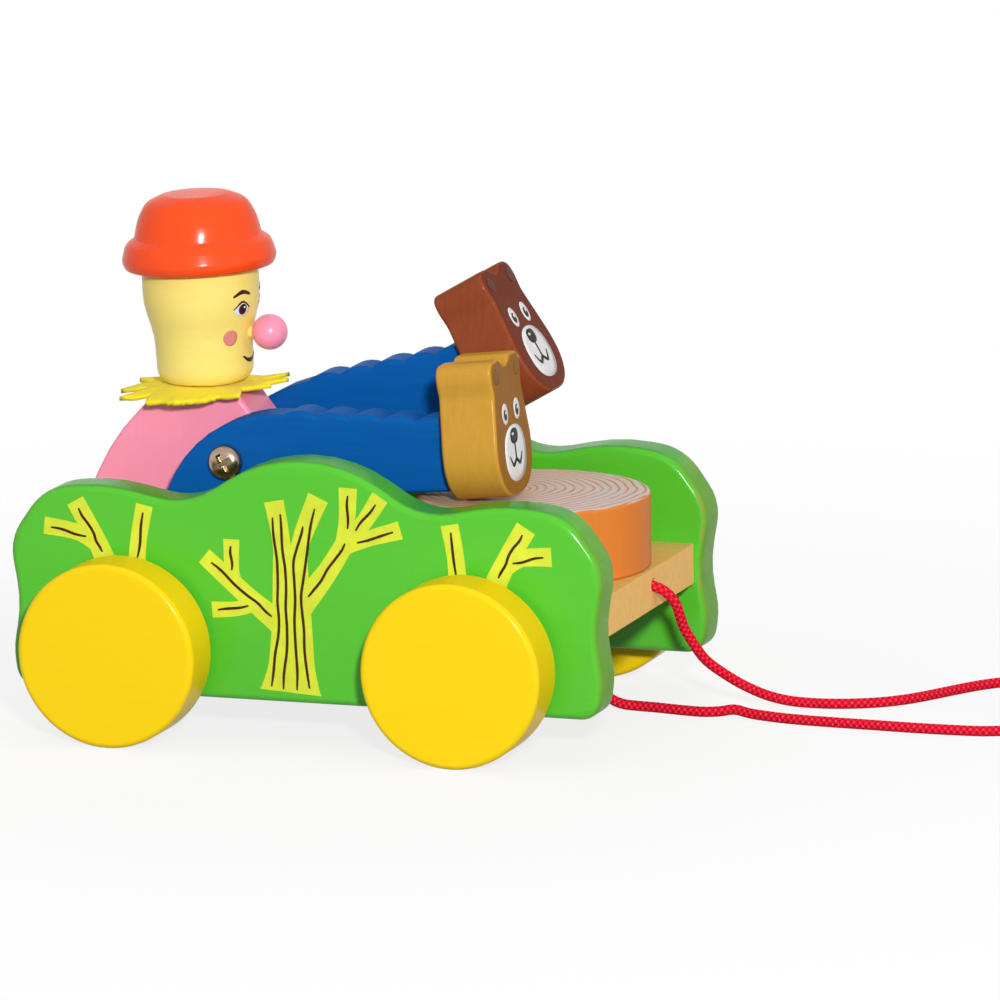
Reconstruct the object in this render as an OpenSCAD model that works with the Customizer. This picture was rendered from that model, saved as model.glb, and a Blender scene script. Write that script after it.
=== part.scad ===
// Wooden pull-along toy: a turned driver between two wavy side panels, whose
// two arms knock bear-head hammers on a tree stump as the rear wheels turn.
// Millimetres. X points forward, along the pull, Y to the far side, Z up.
// The origin is on the floor, under the middle of the side panels.

/* [Wheels] */
// Diameter of the wheels
wheel_d = 50; // [42:0.5:60]
// Thickness of the wheels
wheel_t = 15.4; // [12.5:0.1:18.5]
// Rounding of the wheels' edges
wheel_edge_r = 1.6; // [0.5:0.1:3]
// Depth of the blind axle hole in a wheel
wheel_bore_depth = 10; // [8:0.5:11]
// Gap between a wheel and the panel beside it
wheel_gap = 1.7; // [1:0.1:2.5]
// Diameter of the axles
axle_d = 7; // [6:0.5:8]
// Distance between the axles
wheelbase = 97; // [92:0.5:104]
// How far the middle of the wheelbase lies behind the middle of the panels
axle_set_back = 2; // [0:0.5:4]

/* [Side panels] */
// Length of a panel
panel_l = 167; // [160:1:201]
// Thickness of a panel
panel_t = 12.5; // [10.4:0.1:15]
// How far the panels reach below the axles' middle
panel_drop = 13.4; // [10:0.1:16]
// Height of a panel from its lower edge to the middle hump
panel_h = 65.9; // [62:0.1:70]
// Radius of the middle hump
hump_r = 39.5; // [36:0.5:42]
// Slope between the middle hump and a valley, in degrees
hump_slope = 33; // [30:1:36]
// Distance from the panel's middle to the foot of the slope
valley_x = 33; // [31:0.5:35]
// Radius of the valleys
valley_r = 22; // [16:0.5:24]
// Height of the end humps over the panels' lower edge
shoulder_h = 56.4; // [54:0.1:58.4]
// Rounding of the panels' edges
panel_edge_r = 2; // [1:0.1:2.5]

/* [Deck] */
// Width of the deck, which is the distance between the panels
deck_w = 77.6; // [72:0.1:93]
// Length of the deck
deck_l = 159.6; // [150:0.1:162]
// Thickness of the deck
deck_t = 11; // [10:0.1:13]
// Gap between the axles and the deck
deck_gap = 2.7; // [1.5:0.1:4.5]
// Depth of a panel dowel in the deck
deck_dowel_depth = 13; // [10:0.5:15]
// Depth of a panel dowel in a panel
panel_dowel_depth = 8; // [6:0.5:8]

/* [Stump] */
// Diameter of the tree stump
stump_d = 63.2; // [54:0.1:72]
// Height of the tree stump
stump_h = 20.2; // [17:0.1:20.4]
// Distance of the stump's middle in front of the origin
stump_x = 47.4; // [44:0.1:48]
// Rounding of the stump's edges
stump_edge_r = 1; // [0.5:0.1:3]

/* [Driver] */
// Thickness of the body board
body_t = 18; // [15:0.1:22]
// Height of the body over the deck
body_h = 44.1; // [42:0.1:46]
// Distance of the head's axis behind the origin
driver_x = 45.8; // [44:0.1:48]
// Diameter of the head under the hat
head_d = 31.6; // [28:0.1:36]
// Diameter of the head at the chin
chin_d = 26; // [23:0.1:28]
// Height of the head
head_h = 31.7; // [28:0.1:38]
// Height of the head's slim waist over its foot
waist_h = 13.4; // [12:0.1:13.8]
// Height of the head's brow over its foot
brow_h = 22.4; // [21.6:0.1:23.4]
// Angle by which the head leans back
head_lean = 2.5; // [0:0.5:5]
// Diameter of the hat's brim
brim_d = 41.6; // [38:0.1:48]
// Height of the hat's rolled brim
brim_h = 8.8; // [8:0.1:10]
// Diameter of the hat's crown
crown_d = 34.4; // [32:0.1:37]
// Height of the whole hat
hat_h = 20; // [18.5:0.1:24]
// Diameter of the ball nose
nose_d = 9.7; // [8:0.1:11]
// Height of the nose over the head's foot
nose_h = 13.7; // [13:0.1:18]
// Diameter of the nose's peg
nose_peg_d = 3.6; // [3:0.1:4.4]
// How far the ball nose stands off the head on its peg
nose_off = 0.9; // [0.5:0.1:0.9]
// Diameter of the zigzag ruff over its points
ruff_d = 47.6; // [42:0.1:56]
// Depth of the ruff's points
ruff_cut = 7.4; // [3:0.1:8]
// Thickness of the ruff's felt
ruff_t = 2; // [1:0.1:2.4]
// Slope of the ruff outside the neck, rise per length
ruff_slope = 0.28; // [0.26:0.01:0.4]
// Number of points round the ruff
ruff_points = 16; // [12:1:20]

/* [Arms] */
// Thickness of an arm
arm_t = 12; // [10:0.1:14.4]
// Distance from the pivot to the middle of the near bear head's back
arm_reach = 64.2; // [60:0.1:66]
// Distance from the pivot to the middle of the far bear head's back
far_reach = 65.4; // [60:0.1:66]
// Height of the scalloped top over the pivot
arm_top = 13.6; // [12:0.1:15]
// Distance between two scallops
scallop_pitch = 9.4; // [7:0.1:9.6]
// Height of a scallop
scallop_h = 1.3; // [0.8:0.1:2]
// Number of scallops
scallops = 5; // [3:1:5]
// Distance of the pivot behind the origin
pivot_x = 32.4; // [31:0.1:33.5]
// Height of the pivot over the stump
pivot_h = 7.8; // [7.4:0.1:8.6]
// How far the tail reaches below the axle's middle
tail_past = 0.8; // [0:0.1:2]
// Width of the tail at its tip
tail_w = 8.5; // [7:0.1:9]
// Angle by which the far arm is raised at rest
far_lift = 14; // [10:0.5:17]
// Rounding of the arms' edges
arm_edge_r = 1.4; // [0.5:0.1:2]

/* [Bear heads] */
// Width of a bear head over the cheeks
bear_w = 28.2; // [26:0.1:30]
// Height of a bear head over the pivot's level, to the top of the ears
bear_up = 25; // [22:0.1:27]
// Thickness of a bear head
bear_t = 16; // [13:0.1:19]
// Backward tilt of the near bear head on its arm
bear_tilt = 6.5; // [4:0.5:9]
// Backward tilt of the far bear head on its arm
far_tilt = 16; // [6.5:0.5:17]
// Width of a bear head over the ears
brow_w = 23.6; // [22:0.1:26]
// Rounding of the ears
ear_r = 3.2; // [2.5:0.1:3.4]
// Width of the hollow between the ears
ear_gap = 9; // [8:0.1:10]
// Depth of the hollow between the ears
ear_dip = 3; // [2:0.1:3.4]
// Rounding of the heads' edges
bear_edge_r = 1.2; // [0.5:0.1:1.6]

/* [Cams] */
// Radius of a cam disc
cam_r = 8.8; // [8:0.1:9.2]
// Distance of the cam's middle from the axle
cam_offset = 3.8; // [2:0.1:4]
// Thickness of a cam
cam_t = 8; // [6:0.1:9]

/* [Fixings] */
// Diameter of the dowels
dowel_d = 6; // [5:0.1:7.2]
// Depth of a dowel in the piece it stands in
dowel_depth = 9; // [7:0.5:9.5]
// Diameter of a pivot screw's shank
screw_d = 4.5; // [4:0.1:5.4]
// Diameter of a pivot screw's pan head
screw_head_d = 9.6; // [8:0.1:11.4]
// Height of a pivot screw's pan head
screw_head_h = 3.2; // [2.5:0.1:4]
// Depth of a pivot screw in the body
screw_depth = 7.5; // [6:0.5:7.5]

/* [Fits] */
// Clearance round a shaft that turns
running_gap = 0.06; // [0.02:0.01:0.1]
// Clearance round a glued dowel
glue_gap = 0.04; // [0.02:0.01:0.08]
// Clearance beside a piece that swings
side_gap = 0.4; // [0.3:0.05:0.8]
// Room between a glued dowel's end and its hole's bottom
end_gap = 0.4; // [0.2:0.1:0.8]
// Room round the arms and cams in the deck's slots
slot_gap = 1.2; // [0.8:0.1:2]

/* [Cord] */
// Diameter of the pull cord
cord_d = 2.8; // [2:0.1:2.8]
// Diameter of the drilled cord passage
cord_hole_d = 3.8; // [3.6:0.1:5]
// Diameter of the coil at the middle of its turns
coil_d = 28.8; // [26:0.1:31]
// Distance between the coil's turns
coil_pitch = 3.3; // [3.1:0.1:3.6]
// Distance between the coil's layers
coil_layer = 3.3; // [3.1:0.1:3.6]
// Width of the tie round the coil
tie_w = 4; // [3:0.5:6]
// Thickness of the tie
tie_t = 0.8; // [0.5:0.1:1.2]

/* [Hidden] */
$fn = 64;
// Near side is -1 and far side is 1 along Y
NEAR = -1;
FAR = 1;
// Angle between two points on a rounded outline, and steps across a rounded edge
arc_step = 9;
edge_steps = 3;

axle_z = wheel_d / 2;
rear_x = -wheelbase / 2 - axle_set_back;
front_x = wheelbase / 2 - axle_set_back;
panel_z = axle_z - panel_drop;
hump_z = panel_z + panel_h;
shoulder_z = panel_z + shoulder_h;
panel_in = deck_w / 2;
panel_out = panel_in + panel_t;
wheel_in = panel_out + wheel_gap;
deck_z = axle_z + axle_d / 2 + deck_gap;
deck_top = deck_z + deck_t;
deck_mid = deck_z + deck_t / 2;
stump_top = deck_top + stump_h;
pivot_z = stump_top + pivot_h;
tail_drop = pivot_z - axle_z + tail_past;
body_top = deck_top + body_h;
neck_z = body_top + ruff_t;
arm_in = body_t / 2 + side_gap;
arm_out = arm_in + arm_t;
arm_mid = (arm_in + arm_out) / 2;
// Largest radius that the cams sweep, and the tail's back face just clear of it
cam_reach = cam_r + cam_offset;
tail_back = rear_x + pivot_x + cam_reach + side_gap;
// Height of the arm's middle line over the pivot, where the bear head is doweled on
arm_axis = 5;
bear_down = (pivot_z + arm_axis - stump_top - side_gap) / cos(min(bear_tilt, far_tilt));
// Largest angle by which an arm is raised
lift_max = 18;
// Slots in the deck for the tails and cams
slot_back = rear_x - cam_reach - slot_gap;
slot_front = -pivot_x + tail_back + tail_w + tail_drop * sin(lift_max) + slot_gap;
panel_dowel_x = [-deck_l / 2 + 8, -5, deck_l / 2 - 18];
body_dowel_x = [-driver_x - 21, -driver_x + 13];

function unit(v) = v / norm(v);
function mirrored(half) = [for (i = [len(half) - 1:-1:0]) [-half[i].x, half[i].y, half[i].z]];

// Points of the arc that rounds corner b of the path a, b, c
function corner_arc(a, b, c) =
    let (
        u = unit([a.x - b.x, a.y - b.y]),
        v = unit([c.x - b.x, c.y - b.y]),
        half = acos(u * v) / 2,
        turn = 180 - 2 * half,
        r = b.z,
        centre = [b.x, b.y] + unit(u + v) * r / sin(half),
        first = [b.x, b.y] + u * r / tan(half) - centre,
        start = atan2(first.y, first.x),
        way = -sign(cross(u, v)),
        steps = max(2, ceil(turn / arc_step))
    )
    [for (i = [0:steps]) centre + r * [cos(start + way * turn * i / steps),
                                       sin(start + way * turn * i / steps)]];

// Outline from corners [x, y, radius]; a radius of 0 leaves the corner sharp
function outline(corners) =
    let (n = len(corners))
    [for (i = [0:n - 1])
        each corners[i].z == 0 ? [[corners[i].x, corners[i].y]]
            : corner_arc(corners[(i + n - 1) % n], corners[i], corners[(i + 1) % n])];

// Outline moved inwards by d; its points run anticlockwise
function inset(points, d) =
    let (n = len(points))
    [for (i = [0:n - 1])
        let (t = unit(points[(i + 1) % n] - points[(i + n - 1) % n]))
        points[i] + d * [-t.y, t.x]];

// Twice the area of a triangle, positive when its corners run anticlockwise
function turn(a, b, c) = cross(b - a, c - a);

// Whether a point lies in a triangle without being one of its corners
function holds(a, b, c, p) =
    p != a && p != b && p != c && min(turn(a, b, p), turn(b, c, p), turn(c, a, p)) >= 0;

// Whether corner i of a loop of points can be cut off as a triangle that holds no other point
function is_ear(points, loop, i) =
    let (
        n = len(loop),
        a = points[loop[(i + n - 1) % n]],
        b = points[loop[i]],
        c = points[loop[(i + 1) % n]]
    )
    turn(a, b, c) > 0 && len([for (k = loop) if (holds(a, b, c, points[k])) k]) == 0;

function first_ear(points, loop, i) = is_ear(points, loop, i) ? i : first_ear(points, loop, i + 1);

// Triangles that fill an anticlockwise loop of points
function tiles(points, loop, cut = []) =
    let (n = len(loop))
    n == 3 ? concat(cut, [loop]) :
    let (
        i = first_ear(points, loop, 0),
        rest = [for (k = [0:n - 1]) if (k != i) loop[k]]
    )
    tiles(points, rest, concat(cut, [[loop[(i + n - 1) % n], loop[i], loop[(i + 1) % n]]]));

// Plate of thickness t along Z whose edges are rounded with radius r
module rounded_plate(points, t, r) {
    n = len(points);
    angles = [for (k = [0:edge_steps]) 90 * k / edge_steps];
    lower = [for (a = angles) [r * (1 - cos(a)), r * (1 - sin(a))]];
    upper = [for (k = [edge_steps:-1:0]) [t - lower[k].x, lower[k].y]];
    levels = concat(lower, upper);
    rings = [for (l = levels) [for (p = inset(points, l.y)) [p.x, p.y, l.x]]];
    last = (len(levels) - 1) * n;
    sides = [for (j = [0:len(levels) - 2], i = [0:n - 1])
        let (k = (i + 1) % n)
        each [[j * n + i, (j + 1) * n + i, (j + 1) * n + k], [j * n + i, (j + 1) * n + k, j * n + k]]];
    caps = [for (c = tiles(inset(points, r), [for (i = [0:n - 1]) i]))
        each [c, [last + c[2], last + c[1], last + c[0]]]];
    polyhedron([for (ring = rings) each ring], concat(sides, caps), convexity = 6);
}

// Plate drawn in X and Z, standing between two distances along Y
module upright_plate(points, y, t, r) {
    translate([0, y + t, 0]) rotate([90, 0, 0]) rounded_plate(points, t, r);
}

// Cylinder along Y between two distances
module along_y(d, from, to) {
    translate([0, from, 0]) rotate([-90, 0, 0]) cylinder(d = d, h = to - from);
}

// Upright dowel between two heights
module upright(d, from, to) {
    translate([0, 0, from]) cylinder(d = d, h = to - from);
}

// Front half of the side panel's outline, from the lower edge to the middle hump
panel_end = panel_l / 2;
panel_apex = hump_z - hump_r + hump_r / cos(hump_slope);
valley_z = panel_apex - valley_x * tan(hump_slope);
shoulder_x = valley_x + (panel_end - valley_x) * 0.46;
panel_half = [
    [panel_end - 1.4, panel_z, 6],
    [panel_end + 0.2, panel_z + 10.4, 22],
    [panel_end - 2.2, panel_z + 23, 34],
    [panel_end + 0.8, shoulder_z - 16, 14],
    [panel_end - 9.5, shoulder_z - 1.4, 16],
    [shoulder_x, shoulder_z + 0.6, 50],
    [valley_x, valley_z, valley_r]
];
panel_corners = concat(panel_half, [[0, panel_apex, hump_r]], mirrored(panel_half));

module side_panel(side) {
    outer = side * panel_out;
    inner = side * panel_in;
    dowel_end = side * (panel_in + panel_dowel_depth);
    color("limegreen") difference() {
        upright_plate(outline(panel_corners), min(inner, outer), panel_t, panel_edge_r);
        for (x = [rear_x, front_x])
            translate([x, 0, axle_z]) along_y(axle_d + 2 * running_gap,
                                              min(inner, outer) - 1, max(inner, outer) + 1);
        for (x = panel_dowel_x)
            translate([x, 0, deck_mid]) along_y(dowel_d + 2 * glue_gap,
                                                min(inner - side, dowel_end), max(inner - side, dowel_end));
    }
}

module side_panel_near() side_panel(NEAR);
module side_panel_far() side_panel(FAR);

// Cord passage: in at the front edge, out at the underside; the cord lies on its wall
cord_y = 4;
cord_z = deck_mid + 0.8;
cord_down_x = 62;
cord_rest = (cord_hole_d - cord_d) / 2 - 0.3;

module deck() {
    slot_w = arm_out + slot_gap - body_t / 2;
    color("burlywood") difference() {
        translate([-deck_l / 2, -deck_w / 2, deck_z]) cube([deck_l, deck_w, deck_t]);
        for (side = [NEAR, FAR])
            translate([slot_back, side * (body_t + slot_w) / 2 - slot_w / 2, deck_z - 1])
                cube([slot_front - slot_back, slot_w, deck_t + 2]);
        for (side = [NEAR, FAR], x = panel_dowel_x)
            translate([x, 0, deck_mid]) along_y(dowel_d + 2 * glue_gap,
                side < 0 ? -deck_w / 2 - 1 : deck_w / 2 - deck_dowel_depth,
                side < 0 ? -deck_w / 2 + deck_dowel_depth : deck_w / 2 + 1);
        for (x = concat(body_dowel_x, [stump_x]))
            translate([x, 0, 0]) upright(dowel_d + 2 * glue_gap, deck_top - dowel_depth, deck_top + 1);
        translate([cord_down_x, cord_y, cord_z + cord_rest]) rotate([0, 90, 0])
            cylinder(d = cord_hole_d, h = deck_l);
        translate([cord_down_x - cord_rest, cord_y, deck_z - 1])
            cylinder(d = cord_hole_d, h = cord_z + cord_hole_d / 2 - deck_z + 1);
    }
}

module panel_dowels() {
    color("wheat") for (side = [NEAR, FAR], x = panel_dowel_x)
        translate([x, 0, deck_mid]) along_y(dowel_d,
            side < 0 ? -panel_in - panel_dowel_depth + end_gap : panel_in - deck_dowel_depth + end_gap,
            side < 0 ? -panel_in + deck_dowel_depth - end_gap : panel_in + panel_dowel_depth - end_gap);
}

// Turned piece standing on height z, from a half outline of [radius, height, rounding]
module turned(corners, z) {
    translate([0, 0, z]) rotate_extrude() polygon(outline(corners));
}

module stump() {
    r = stump_d / 2;
    color("peru") translate([stump_x, 0, 0]) difference() {
        turned([[0, 0, 0], [r, 0, stump_edge_r], [r, stump_h, stump_edge_r], [0, stump_h, 0]], deck_top);
        upright(dowel_d + 2 * glue_gap, deck_top - 1, deck_top + dowel_depth);
    }
}

module stump_dowel() {
    color("wheat") translate([stump_x, 0, 0])
        upright(dowel_d, deck_top - dowel_depth + end_gap, deck_top + dowel_depth - end_gap);
}

// Body board, seen from the side, measured from the head's axis and the deck
body_corners = [
    [-32.6, 0, 2],
    [22, 0, 2],
    [22, body_h - 12.7, 5],
    [12.2, body_h, 4],
    [-10.8, body_h, 10],
    [-24.6, body_h - 13.6, 58],
    [-32.6, body_h - 31.6, 14]
];
body_edge_r = 1.4;

module driver_body() {
    color("hotpink") difference() {
        translate([-driver_x, 0, deck_top])
            upright_plate(outline(body_corners), -body_t / 2, body_t, body_edge_r);
        for (x = body_dowel_x)
            translate([x, 0, 0]) upright(dowel_d + 2 * glue_gap, deck_top - 1, deck_top + dowel_depth);
        translate([-driver_x, 0, 0])
            upright(dowel_d + 2 * glue_gap, body_top - dowel_depth, body_top + 1);
        for (side = [NEAR, FAR])
            translate([-pivot_x, 0, pivot_z])
                along_y(screw_d + 2 * glue_gap, side < 0 ? -body_t : body_t / 2 - screw_depth - end_gap,
                        side < 0 ? -body_t / 2 + screw_depth + end_gap : body_t);
    }
}

module body_dowels() {
    color("wheat") for (x = body_dowel_x)
        translate([x, 0, 0])
            upright(dowel_d, deck_top - dowel_depth + end_gap, deck_top + dowel_depth - end_gap);
}

module ruff() {
    r = ruff_d / 2;
    points = [for (i = [0:2 * ruff_points - 1])
        let (a = 180 * i / ruff_points, d = i % 2 == 0 ? r : r - ruff_cut)
        d * [cos(a), sin(a)]];
    flat = chin_d / 2 - 0.5;
    blank = r + 1;
    rise = (blank - flat) * ruff_slope;
    color("gold") translate([-driver_x, 0, body_top]) difference() {
        intersection() {
            rotate_extrude() polygon([[0, 0], [flat, 0], [blank, rise], [blank, rise + ruff_t],
                                      [flat, ruff_t], [0, ruff_t]]);
            translate([0, 0, -1]) linear_extrude(rise + ruff_t + 2) polygon(points);
        }
        upright(dowel_d + 2 * glue_gap, -1, ruff_t + 1);
    }
}

// Half outline of the turned head: chin, slim waist, wide brow
cheek_r = chin_d / 2 + 0.3;
brow_r = head_d / 2 + 0.1;
head_corners = [
    [0, 0, 0],
    [chin_d / 2, 0, 4.5],
    [cheek_r, waist_h, 25],
    [brow_r, brow_h, 22],
    [head_d / 2, head_h, 1],
    [0, head_h, 0]
];
// The leaning head's foot is sunk a little and cut level, so that it stands flat
head_sink = chin_d / 2 * sin(head_lean);
// Radius of the head at the nose, on the line between waist and brow
nose_seat = cheek_r + (brow_r - cheek_r) * max(0, nose_h - waist_h) / (brow_h - waist_h);
nose_peg_l = 6;

// Lays a piece on the driver's leaning axis, measured from the head's foot
module at_neck() {
    translate([-driver_x, 0, neck_z - head_sink]) rotate([0, -head_lean, 0]) children();
}

// Peg of the nose with room round it, from a depth in the head to the ball's middle
module nose_peg(room, depth) {
    translate([nose_seat - depth, 0, nose_h]) rotate([0, 90, 0])
        cylinder(d = nose_peg_d + 2 * room, h = depth + nose_off + nose_d / 2);
}

module driver_head() {
    color("khaki") difference() {
        at_neck() turned(head_corners, 0);
        translate([-driver_x - head_d, -head_d, neck_z - head_d]) cube([2 * head_d, 2 * head_d, head_d]);
        translate([-driver_x, 0, 0]) upright(dowel_d + 2 * glue_gap, neck_z - 1, neck_z + dowel_depth);
        at_neck() upright(dowel_d + 2 * glue_gap, head_h - dowel_depth, head_h + 1);
        at_neck() nose_peg(glue_gap, nose_peg_l);
    }
}

module neck_dowel() {
    color("wheat") translate([-driver_x, 0, 0])
        upright(dowel_d, body_top - dowel_depth + end_gap, neck_z + dowel_depth - end_gap);
}

module driver_nose() {
    color("pink") at_neck() {
        nose_peg(0, nose_peg_l - end_gap);
        translate([nose_seat + nose_off + nose_d / 2, 0, nose_h]) sphere(d = nose_d);
    }
}

// Half outline of the turned hat: bell-shaped brim and flat-topped crown
brim_r = brim_d / 2;
crown_r = crown_d / 2;
hat_corners = [
    [0, 0, 0],
    [brim_r - 0.8, 0, 1.2],
    [brim_r + 0.3, 2.4, 3.2],
    [brim_r - 1, brim_h - 1.9, 3.4],
    [crown_r + 0.1, brim_h - 0.2, 0.5],
    [crown_r - 1.1, brim_h + 5.2, 16],
    [crown_r - 3.6, hat_h - 1.9, 5],
    [crown_r - 8, hat_h, 3.5],
    [0, hat_h, 0]
];

module driver_hat() {
    color("orangered") at_neck() difference() {
        turned(hat_corners, head_h);
        upright(dowel_d + 2 * glue_gap, head_h - 1, head_h + dowel_depth);
    }
}

module hat_dowel() {
    color("wheat") at_neck()
        upright(dowel_d, head_h - dowel_depth + end_gap, head_h + dowel_depth - end_gap);
}

module pivot_screws() {
    head_y = arm_out + side_gap;
    r = screw_head_d / 2;
    color("rosybrown") for (side = [NEAR, FAR])
        translate([-pivot_x, side * head_y, pivot_z]) rotate([-side * 90, 0, 0]) {
            turned([[0, 0, 0], [r, 0, 0.3], [r - 0.2, screw_head_h, 2.4], [0, screw_head_h, 0]], 0);
            upright(screw_d, body_t / 2 - screw_depth - head_y, 1);
        }
}

module axle(x) {
    half = wheel_in + wheel_bore_depth - end_gap;
    color("wheat") translate([x, 0, axle_z]) along_y(axle_d, -half, half);
}

module rear_axle() axle(rear_x);
module front_axle() axle(front_x);

module wheel(x, side) {
    r = wheel_d / 2;
    color("gold") translate([x, side * wheel_in, axle_z]) rotate([-side * 90, 0, 0]) difference() {
        turned([[0, 0, 0], [r, 0, wheel_edge_r], [r, wheel_t, wheel_edge_r], [0, wheel_t, 0]], 0);
        upright(axle_d + 2 * glue_gap, -1, wheel_bore_depth);
    }
}

module rear_wheel_near() wheel(rear_x, NEAR);
module rear_wheel_far() wheel(rear_x, FAR);
module front_wheel_near() wheel(front_x, NEAR);
module front_wheel_far() wheel(front_x, FAR);

// Cam under one arm's tail; lobe is 1 forward or -1 backward at rest
module cam(side, lobe) {
    color("tan") translate([rear_x, side * arm_mid - cam_t / 2, axle_z]) difference() {
        translate([lobe * cam_offset, 0, 0]) along_y(2 * cam_r, 0, cam_t);
        along_y(axle_d + 2 * glue_gap, -1, cam_t + 1);
    }
}

module cam_near() cam(NEAR, -1);
module cam_far() cam(FAR, 1);

// Arm seen from the side, measured from its pivot, lying as it does when it is down
function arm_end(side) = [side > 0 ? far_reach : arm_reach, arm_axis];
function tilt(side) = side > 0 ? far_tilt : bear_tilt;
function lean(side) = [-sin(tilt(side)), cos(tilt(side))];
// Scallops are equal arcs along the top, from the bear head backward
scallop_half = 2 * atan(2 * scallop_h / scallop_pitch);
scallop_r = scallop_pitch / 2 / sin(scallop_half);
function scallop_points(front) =
    [for (i = [0:scallops - 1], k = [-3:2])
        let (a = scallop_half * k / 3)
        [front - (i + 0.5) * scallop_pitch - scallop_r * sin(a),
         arm_top + scallop_r * (cos(a) - cos(scallop_half)), 0]];
function arm_corners(side) =
    let (
        low = arm_end(side) - 10 * lean(side),
        high = arm_end(side) + lean(side) * (arm_top - arm_axis) / cos(tilt(side))
    )
    concat(
        [[tail_back, -tail_drop, 2],
         [tail_back + tail_w, -tail_drop, 3],
         [tail_back + tail_w + 1.5, -9.9, 8],
         [low.x, low.y, 2]],
        scallop_points(high.x),
        [[high.x - scallops * scallop_pitch, arm_top, 0],
         [-9.5, arm_top - 0.4, 34],
         [-20.8, -17.5, 8],
         [tail_back, -36, 6]]);

// Lays a piece of an arm at its pivot, raised by an angle
module at_pivot(side) {
    translate([-pivot_x, side * arm_mid, pivot_z]) rotate([0, side > 0 ? -far_lift : 0, 0]) children();
}

// Lays a piece on the end of an arm, along the bear head's own axis
module at_arm_end(side) {
    translate([arm_end(side).x, 0, arm_end(side).y]) rotate([0, -tilt(side), 0]) children();
}

module arm(side) {
    color("steelblue") at_pivot(side) difference() {
        upright_plate(outline(arm_corners(side)), -arm_t / 2, arm_t, arm_edge_r);
        along_y(screw_d + 2 * running_gap, -arm_t, arm_t);
        at_arm_end(side) rotate([0, 90, 0]) upright(dowel_d + 2 * glue_gap, -dowel_depth, dowel_depth);
    }
}

module arm_near() arm(NEAR);
module arm_far() arm(FAR);

// Right half of a bear head seen from the front: cheek, brow and ear
cheek = bear_w / 2;
brow = brow_w / 2;
bear_half = [
    [cheek, -bear_down, 11.5],
    [cheek, 2, 18],
    [brow - 0.6, bear_up - 9, 5],
    [brow + 0.4, bear_up - 4.6, 5],
    [brow - 0.3, bear_up, ear_r],
    [ear_gap / 2, bear_up, 2]
];
bear_corners = concat(bear_half, [[0, bear_up - ear_dip, 4]], mirrored(bear_half));

module bear_head(side) {
    color(side > 0 ? "saddlebrown" : "goldenrod") at_pivot(side) at_arm_end(side) difference() {
        rotate([90, 0, 90]) rounded_plate(outline(bear_corners), bear_t, bear_edge_r);
        rotate([0, 90, 0]) upright(dowel_d + 2 * glue_gap, -1, dowel_depth);
    }
}

module bear_head_near() bear_head(NEAR);
module bear_head_far() bear_head(FAR);

module head_dowel(side) {
    color("wheat") at_pivot(side) at_arm_end(side) rotate([0, 90, 0])
        upright(dowel_d, end_gap - dowel_depth, dowel_depth - end_gap);
}

module head_dowel_near() head_dowel(NEAR);
module head_dowel_far() head_dowel(FAR);

// Tube of a given diameter along a path of points
module tube(path, d, sides) {
    n = len(path);
    tangents = [for (i = [0:n - 1]) unit(path[min(i + 1, n - 1)] - path[max(i - 1, 0)])];
    side_on = cross(tangents[0], [0.1, 0.2, 1]);
    normals = [for (i = 0, v = unit(side_on); i < n; i = i + 1,
        v = i < n ? unit(v - (v * tangents[i]) * tangents[i]) : v) v];
    points = [for (i = [0:n - 1], k = [0:sides - 1])
        let (a = 360 * k / sides, w = cross(tangents[i], normals[i]))
        path[i] + d / 2 * (cos(a) * normals[i] + sin(a) * w)];
    walls = [for (i = [0:n - 2], k = [0:sides - 1])
        let (m = (k + 1) % sides, p = i * sides, q = (i + 1) * sides)
        each [[p + k, q + k, q + m], [p + k, q + m, p + m]]];
    last = (n - 1) * sides;
    ends = [for (k = [1:sides - 2])
        each [[0, k, k + 1], [last, last + k + 1, last + k]]];
    polyhedron(points, concat(walls, ends), convexity = 10);
}

// Smooth curve through points, with a number of steps between each two
function smooth(points, steps) =
    let (n = len(points))
    concat([for (i = [0:n - 2], k = [0:steps - 1])
        let (
            t = k / steps,
            a = points[max(i - 1, 0)],
            b = points[i],
            c = points[i + 1],
            d = points[min(i + 2, n - 1)]
        )
        b + 0.5 * t * (c - a + t * (2 * a - 5 * b + 4 * c - d + t * (3 * (b - c) + d - a)))],
        [points[n - 1]]);

// Coil on the floor in front of the toy: it winds in on the lower layer, climbs
// in the half turn where it reverses, and winds out on the upper layer
coil_at = [190, 46];
coil_first = 62;
coil_last = -45;
coil_loops = 7;
coil_rings = 24;
coil_turns = coil_loops + (coil_first - coil_last) / 360;
coil_in_turns = (coil_turns - 0.5) / 2;
coil_inner = coil_d / 2 - coil_pitch * coil_in_turns / 2;
coil_outer = coil_inner + coil_pitch * coil_in_turns;
coil_z = tie_t + 0.3 + cord_d / 2;
climb_dip = 0.8;

function coil_point(u) =
    let (
        a = coil_first - 360 * u,
        s = min(1, max(0, (u - coil_in_turns) / 0.5)),
        r = s < 1 ? coil_inner + coil_pitch * max(0, coil_in_turns - u) - climb_dip * sin(180 * s)
                  : coil_inner + coil_pitch * (u - coil_in_turns - 0.5)
    )
    [coil_at.x + r * cos(a), coil_at.y + r * sin(a), coil_z + coil_layer * (1 - cos(180 * s)) / 2];

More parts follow.
